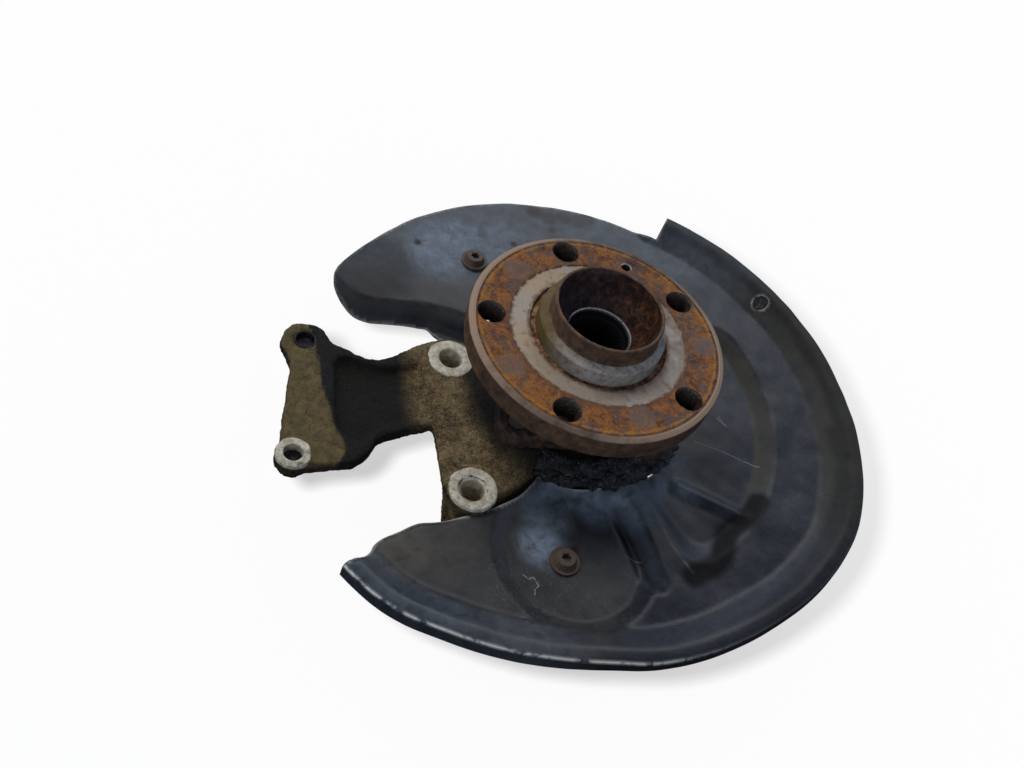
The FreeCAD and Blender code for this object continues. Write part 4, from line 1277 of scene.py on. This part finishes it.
    # Holes: lead-in cones and threads
    for spot in spots:
        add(*cone(spot, bolt_sink_radius, -0.02, bolt_minor_radius + 0.35, -thread_lead_in, 48), THREAD)
        add(*thread(spot, back, -thread_lead_in, bolt_minor_radius, bolt_major_radius, thread_pitch),
            THREAD)
    add(*cone(screw, disc_sink_radius, -0.02, disc_screw_radius, -disc_sink_depth, 24), SEAT)
    add(*thread(screw, back, -disc_sink_depth, disc_screw_radius, disc_thread_radius, 1.0, 24), THREAD)

    points = np.concatenate([p for p, _, _ in parts])
    faces = []
    zones = []
    start = 0
    for part_points, part_faces, zone in parts:
        faces += [tuple(int(i) + start for i in f) for f in part_faces]
        zones += [zone] * len(part_faces)
        start += len(part_points)
    bump = 0.06 * rough_noise(points, 3.0, 90, 3)
    radius = np.hypot(points[:, 0], points[:, 1])
    outward = np.column_stack([points[:, 0] / radius, points[:, 1] / radius, np.zeros(len(points))])
    on_side = (radius > bowl_rim[0] - 3) & (radius < flange_radius + 1) & (np.abs(points[:, 2]) > 0.3)
    on_side &= points[:, 2] > back + 0.5
    points = points - outward * (np.abs(bump) * on_side)[:, None]
    piece = make_piece("hub_forging", points, faces, hub_materials, zones)
    finish_piece(piece, "hub", "rusty_steel", "wheel_hub")


def cone(spot, top_radius, top, low_radius, low, segments):
    """A short tapered wall round a hole."""
    upper = circle(spot, top_radius, segments)
    lower = circle(spot, low_radius, segments)
    points = np.concatenate([
        np.column_stack([upper, np.full(segments, top)]),
        np.column_stack([lower, np.full(segments, low)]),
    ])
    return points, row_faces(2, segments, True)


def cad_copy(name, node, material):
    """A new piece that starts as a copy of a CAD node's mesh."""
    mesh = nodes[node].data.copy()
    mesh.materials.clear()
    mesh.materials.append(material)
    piece = bpy.data.objects.new(name, mesh)
    bpy.context.scene.collection.objects.link(piece)
    return piece


def remesh(piece, size, rounds):
    """An even mesh over a piece, with its edges softened."""
    solid = piece.modifiers.new("even", "REMESH")
    solid.mode = "VOXEL"
    solid.voxel_size = size * MM
    soften = piece.modifiers.new("soften", "SMOOTH")
    soften.factor = 0.5
    soften.iterations = rounds
    settle(piece)
    piece.data.polygons.foreach_set("use_smooth", np.ones(len(piece.data.polygons), bool))


def carrier_casting():
    """The rough casting, from the CAD solid with softened edges and a sandy skin."""
    piece = cad_copy("carrier_casting", "wheel_carrier", cast_skin)
    remesh(piece, 1.4, 9)
    points = points_of(piece)
    normals = normals_of(piece)
    for spot, radius in [(ear, ear_hole_radius) for ear in ears] + [
            (arm_hole_lower, arm_hole_radius), (arm_hole_upper, arm_hole_radius)]:
        away = points[:, :2] - spot
        distance = np.hypot(away[:, 0], away[:, 1])
        close = (distance < radius + 0.9) & (distance > 0.1)
        points[close, :2] = np.array(spot) + away[close] / distance[close, None] * (radius + 0.9)
    relief = 0.22 * rough_noise(points, 14, 11, 3) + 0.20 * rough_noise(points, 3.4, 21, 2)
    relief *= smooth((np.hypot(points[:, 0], points[:, 1]) - 42) / 4)
    points = points + normals * (relief - 0.25)[:, None]
    points[:, 2] = np.minimum(points[:, 2], face_z - 0.15)
    points = np.clip(points, carrier_low + 0.05, carrier_high - 0.05)
    move_points(piece, points)
    plan = points[:, :2]
    web_edge = np.array([(-136.0, 20.0), (-134.6, 9.3), (-134.4, -2.8), (-131.3, -15.7), (-129.6, -26.5),
                         (-126.1, -37.6), (-126.5, -43.4), (-133.2, -52.8)])
    away, side = distance_to(plan, through(web_edge, 2.0))
    plate = smooth((np.where(side > 0, away, -away)) * -1 / 2.0 + 0.5) * (plan[:, 0] < -118)
    up = smooth((normals[:, 2] - 0.3) / 0.4)
    set_field(piece, "plate", plate * up)
    # Dark field: oily dirt in the web, and painted shade on walls that don't face up and round the
    # bearing's foot
    dark = smooth((-82 - plan[:, 0]) / 14) * (1 - plate)
    painted_wall_shade = 1 - smooth((normals[:, 2] + 0.1) / 0.5)
    dark = np.maximum(dark, painted_wall_shade * (0.25 + 0.6 * smooth((-78 - plan[:, 0]) / 12)))
    dark = np.maximum(dark, 0.9 * smooth((66 - np.hypot(plan[:, 0], plan[:, 1])) / 10))
    set_field(piece, "dark", np.clip(dark, 0, 1))
    finish_piece(piece, "carrier", "cast_aluminium", "wheel_carrier")


def seat(name, spot, seat_radius, hole_radius, top, depth, sink=0.0, material=None):
    """A machined seat with its hole: a flat ring, a small edge and the wall of the hole."""
    profile = soft_profile([
        (seat_radius + 0.5, top - 1.6), (seat_radius, top - 0.2), (seat_radius - 0.5, top),
        (hole_radius + sink + 0.4, top), (hole_radius, top - sink - 0.4), (hole_radius, top - depth),
    ], 0.25, 2)
    points, faces = lathe(profile, 72)
    ragged = 0.25 * waves(points, 5, 40)
    radius = np.hypot(points[:, 0], points[:, 1])
    outer = radius > seat_radius - 0.7
    scale = np.where(outer, 1 + ragged / radius, 1.0)
    points[:, :2] *= scale[:, None]
    points[:, 0] += spot[0]
    points[:, 1] += spot[1]
    piece = make_piece(name, points, faces, [material or machined])
    finish_piece(piece, "carrier", "cast_aluminium")


def seats():
    seat("upper_ear_seat", ears[0], ear_seat_radius, ear_hole_radius, face_z, 36.0, 0.3)
    seat("lower_ear_seat", ears[1], ear_seat_radius, ear_hole_radius, face_z, 36.0, 1.6)
    seat("lower_arm_seat", arm_hole_lower, arm_seat_radius, arm_hole_radius, face_z, 9.5)
    seat("upper_arm_hole", arm_hole_upper, arm_hole_radius + 1.2, arm_hole_radius, face_z - 1.0, 8.5,
         material=coating)


def flaky_coating():
    """Crumpled black coating round the foot of the bearing, on the carrier's face and the shield's edge."""
    angles = np.arange(coating_start, coating_end, -0.55)
    shares = np.linspace(0.0, 1.0, 22)
    turn = np.radians(angles)
    ragged = 1.3 * waves(np.column_stack([np.cos(turn), np.sin(turn)]) * 60, 6, 71)
    rows = []
    for share in shares:
        radius = coating_inner + (coating_outer - coating_inner) * share + ragged * share ** 2
        z = coating_top + (coating_low - coating_top) * smooth(share * 1.1 - 0.1)
        rows.append(np.stack([radius * np.cos(turn), radius * np.sin(turn), np.full(len(turn), z)], 1))
    points = np.concatenate(rows)
    crumple = 0.75 * rough_noise(points, 7, 72, 4)
    points[:, 2] += crumple
    faces = [(a, d, c, b) for a, b, c, d in row_faces(len(shares), len(turn), False)]
    piece = make_piece("flaky_coating", points, faces, [coating])
    solid = piece.modifiers.new("thickness", "SOLIDIFY")
    solid.thickness = 2.4 * MM
    solid.offset = -1
    settle(piece)
    finish_piece(piece, "carrier", "shield_paint")


def dirt_plug(name, spot, radius, top, depth, body_slot, height=None):
    """A lump of dirt that closes a hole, a little hollow and uneven."""
    profile = np.array([(0.05, top - 0.5), (radius * 0.4, top - 0.35), (radius * 0.75, top - 0.1),
                        (radius, top), (radius, top - depth), (0.05, top - depth)])
    points, faces = lathe(profile, 40)
    points[:, 2] += 0.15 * waves(points, 3, 81)
    points[:, 0] += spot[0]
    points[:, 1] += spot[1]
    if height is not None:
        points[:, 2] += height(points[:, :2])
    piece = make_piece(name, points, faces, [coating])
    finish_piece(piece, "carrier", body_slot)


def dirt_plugs():
    dirt_plug("lower_arm_dirt", arm_hole_lower, arm_hole_radius + 0.2, face_z - 5.0, 2.0, "cast_aluminium")
    dirt_plug("upper_arm_dirt", arm_hole_upper, arm_hole_radius + 0.2, face_z - 4.0, 2.0, "cast_aluminium")
    drain = polar_spot(*drain_place)
    dirt_plug("drain_plug", drain, drain_radius + 0.5, -0.35, 1.6, "shield_paint", shield_height)


def bearing_ring():
    piece = cad_copy("bearing_ring", "bearing_outer_ring", ring_rust)
    remesh(piece, 1.1, 3)
    points = points_of(piece)
    normals = normals_of(piece)
    radius = np.hypot(points[:, 0], points[:, 1])
    relief = 0.35 * rough_noise(points, 5, 51, 3) - 0.2
    outer = smooth((radius - 39) / 1.5)
    points = points + normals * (relief * outer)[:, None]
    points = np.clip(points, ring_low + 0.02, ring_high - 0.02)
    move_points(piece, points)
    finish_piece(piece, "carrier", "ring_steel", "bearing_outer_ring")


def dress(node, material):
    """A new material on a CAD node that keeps its shape."""
    mesh_object = nodes[node]
    if mesh_object.material_slots:
        mesh_object.material_slots[0].material = material
    else:
        mesh_object.data.materials.append(material)


# The small and hidden pieces: material, words in the names of their nodes, dark and light colour,
# roughness, metal, size of the wear and its depth
small_materials = [
    ("ground_steel", ("balls", "bearing_inner_ring"), (0.30, 0.29, 0.27), (0.50, 0.48, 0.45),
     0.2, 0.9, 1.0, 0.02),
    ("cage_nylon", ("cage",), (0.42, 0.36, 0.25), (0.62, 0.55, 0.40), 0.45, 0.0, 1.5, 0.05),
    ("seal_rubber", ("outboard_seal", "encoder_ring"), (0.012, 0.012, 0.012), (0.040, 0.038, 0.036),
     0.5, 0.0, 1.0, 0.08),
    ("bush_rubber", ("bush_rubber",), (0.010, 0.010, 0.009), (0.050, 0.047, 0.042), 0.55, 0.0, 1.6, 0.2),
    ("bush_steel", ("bush_sleeve", "bush_core"), (0.14, 0.11, 0.08), (0.38, 0.34, 0.29),
     0.35, 0.7, 2.0, 0.12),
    ("bolt_zinc", ("bearing_bolts",), (0.22, 0.20, 0.17), (0.46, 0.44, 0.40), 0.32, 0.75, 1.4, 0.08),
    ("screw_steel", ("shield_screws",), (0.030, 0.022, 0.018), (0.150, 0.110, 0.085), 0.4, 0.4, 0.9, 0.15),
]


def small_pieces():
    for name, words, *look in small_materials:
        material = plain_material(name, *look)
        for node in nodes:
            if any(word in node for word in words):
                dress(node, material)


# Camera at the photo's angle: where it stands, what it looks at and its roll
camera_place = Vector((-202.41, -324.64, 374.24)) * MM
camera_target = Vector((-52.4, -34.2, 0.0)) * MM
camera_roll = 22.4
camera_focal_px = 1055.6
image_width_px = 1024

# Light: both suns shine on the object alone, and the small lamp near the camera on the floor alone.
# The suns and the soft box are placed by azimuth and height in degrees.
key_from = (118.0, 52.0)
key_width = 24.0
key_strength = 3.0
key_colour = (1.0, 0.985, 0.96)
front_from = (-128.0, 24.0)
front_width = 40.0
front_strength = 0.9
front_colour = (1.0, 1.0, 1.0)
floor_light_lift = 42.0
floor_light_shift = 84.0
floor_light_size = 70.0
floor_light_power = 17.0
floor_light_gain = 0.0253
floor_white = 0.938
floor_tone = 0.35
floor_glow = (1.018, 1.008, 0.996)
sky_gloss = 1.0
sky_fill = 0.45
sky_stops = [
    (0.47, (0.02, 0.02, 0.02)), (0.53, (0.34, 0.43, 0.58)), (0.80, (0.32, 0.40, 0.53)),
    (0.88, (0.20, 0.22, 0.26)), (0.93, (0.12, 0.13, 0.15)),
]
softbox_place = (68.0, 40.0)
softbox_inner = 6.0
softbox_outer = 24.0
softbox_strength = 1.15
softbox_colour = (1.0, 0.97, 0.92)


def add_camera():
    data = bpy.data.cameras.new("camera")
    data.sensor_width = 36.0
    data.lens = camera_focal_px / image_width_px * data.sensor_width
    data.clip_start = 0.01
    camera = bpy.data.objects.new("camera", data)
    bpy.context.scene.collection.objects.link(camera)
    look = (camera_target - camera_place).to_track_quat("-Z", "Y")
    camera.matrix_world = (
        Matrix.Translation(camera_place) @ look.to_matrix().to_4x4()
        @ Matrix.Rotation(math.radians(camera_roll), 4, "Z")
    )
    bpy.context.scene.camera = camera


def add_floor():
    """A pale light table, whose own glow makes up for the floor light's fall with distance."""
    half = 12.0
    z = cad_box[0][2]
    mesh = bpy.data.meshes.new("floor")
    corners = [(x * half, y * half, z) for x, y in ((-1, -1), (1, -1), (1, 1), (-1, 1))]
    mesh.from_pydata(corners, [], [(0, 1, 2, 3)])
    floor = bpy.data.objects.new("floor", mesh)
    bpy.context.scene.collection.objects.link(floor)
    m = Paint("floor_paper", Roughness=0.9)
    m.put(0.0, m.shader.inputs["Specular IOR Level"])
    m.put(floor_glow, m.shader.inputs["Emission Color"])
    lamp = floor_light_place()
    away = m.add("ShaderNodeVectorMath", operation="DISTANCE")
    m.put(m.place, away.inputs[0])
    away.inputs[1].default_value = lamp
    level = (lamp.z - z) * floor_light_power * floor_light_gain
    lit = m.math("DIVIDE", level, m.math("POWER", away.outputs["Value"], 3.0))
    m.put(m.minus(floor_white, m.times(lit, floor_tone)), m.shader.inputs["Emission Strength"])
    m.finish(m.mix(m.noise(300, 2), (floor_tone,) * 3, (floor_tone + 0.002,) * 3))
    mesh.materials.append(m.material)
    floor.visible_glossy = False
    floor.visible_diffuse = False
    return floor


def camera_axes():
    """The camera's right and up directions."""
    view = (camera_target - camera_place).normalized()
    across = view.cross(Vector((0, 0, 1))).normalized()
    upward = across.cross(view)
    turn = math.radians(camera_roll)
    right = across * math.cos(turn) + upward * math.sin(turn)
    over = upward * math.cos(turn) - across * math.sin(turn)
    return right, over


def floor_light_place():
    right, over = camera_axes()
    return camera_place + over * floor_light_lift * MM - right * floor_light_shift * MM


def lit_only(light, name, shown=None, hidden=None):
    """Makes a light shine on one object alone, or on all but one."""
    group = bpy.data.collections.new(name)
    group.objects.link(shown or hidden)
    group.collection_objects[0].light_linking.link_state = "INCLUDE" if shown else "EXCLUDE"
    light.light_linking.receiver_collection = group


def sky_direction(place):
    """The direction of a place in the sky, from its azimuth and its height in degrees."""
    heading, height = (math.radians(angle) for angle in place)
    level = math.cos(height)
    return Vector((level * math.cos(heading), level * math.sin(heading), math.sin(height)))


def add_sun(name, place, width, strength, colour, floor):
    """A soft sun that lights all but the floor and isn't mirrored in gloss."""
    data = bpy.data.lights.new(name, "SUN")
    data.angle = math.radians(width)
    data.energy = strength
    data.color = colour
    sun = bpy.data.objects.new(name, data)
    toward = sky_direction(place)
    sun.location = toward
    sun.visible_glossy = False
    sun.rotation_euler = toward.to_track_quat("Z", "Y").to_euler()
    bpy.context.scene.collection.objects.link(sun)
    lit_only(sun, name + "_receivers", hidden=floor)


def add_lights(floor):
    """A key sun, a weaker one toward the camera, a small lamp for the floor's shadow, and the sky."""
    add_sun("key", key_from, key_width, key_strength, key_colour, floor)
    add_sun("front_fill", front_from, front_width, front_strength, front_colour, floor)
    data = bpy.data.lights.new("floor_lamp", "POINT")
    data.shadow_soft_size = floor_light_size / 2 * MM
    data.energy = floor_light_power
    lamp = bpy.data.objects.new("floor_lamp", data)
    lamp.location = floor_light_place()
    bpy.context.scene.collection.objects.link(lamp)
    lit_only(lamp, "lamp_receivers", shown=floor)


def add_sky():
    """A daylight sky, brighter in gloss, where it also holds a soft box of light."""
    world = bpy.data.worlds.new("studio")
    bpy.context.scene.world = world
    world.use_nodes = True
    world.node_tree.nodes.clear()
    w = Nodes(world.node_tree, "Generated")
    _, _, z = w.split()
    sky = w.ramp(w.scale(z, 0.5, 0.5), *sky_stops)
    closeness = w.add("ShaderNodeVectorMath", operation="DOT_PRODUCT")
    w.put(w.place, closeness.inputs[0])
    closeness.inputs[1].default_value = sky_direction(softbox_place)
    glow = w.add("ShaderNodeMapRange", interpolation_type="SMOOTHSTEP")
    w.put(closeness.outputs["Value"], glow.inputs["Value"])
    glow.inputs["From Min"].default_value = math.cos(math.radians(softbox_outer))
    glow.inputs["From Max"].default_value = math.cos(math.radians(softbox_inner))
    glow.inputs["To Max"].default_value = softbox_strength
    glossy = w.add("ShaderNodeLightPath").outputs["Is Glossy Ray"]
    fill = w.times(w.minus(1.0, glossy), sky_fill)
    back = w.add("ShaderNodeBackground")
    w.put(sky, back.inputs["Color"])
    w.put(w.scale(glossy, sky_gloss, fill), back.inputs["Strength"])
    box_light = w.add("ShaderNodeBackground")
    w.put(softbox_colour, box_light.inputs["Color"])
    w.put(w.times(glow.outputs["Result"], glossy), box_light.inputs["Strength"])
    both = w.add("ShaderNodeAddShader")
    w.put(back.outputs[0], both.inputs[0])
    w.put(box_light.outputs[0], both.inputs[1])
    w.put(both.outputs[0], w.add("ShaderNodeOutputWorld").inputs["Surface"])
    bpy.context.scene.view_settings.view_transform = "Standard"


add_camera()
add_lights(add_floor())
add_sky()
dust_shield()
wheel_hub()
carrier_casting()
seats()
bearing_ring()
flaky_coating()
dirt_plugs()
small_pieces()
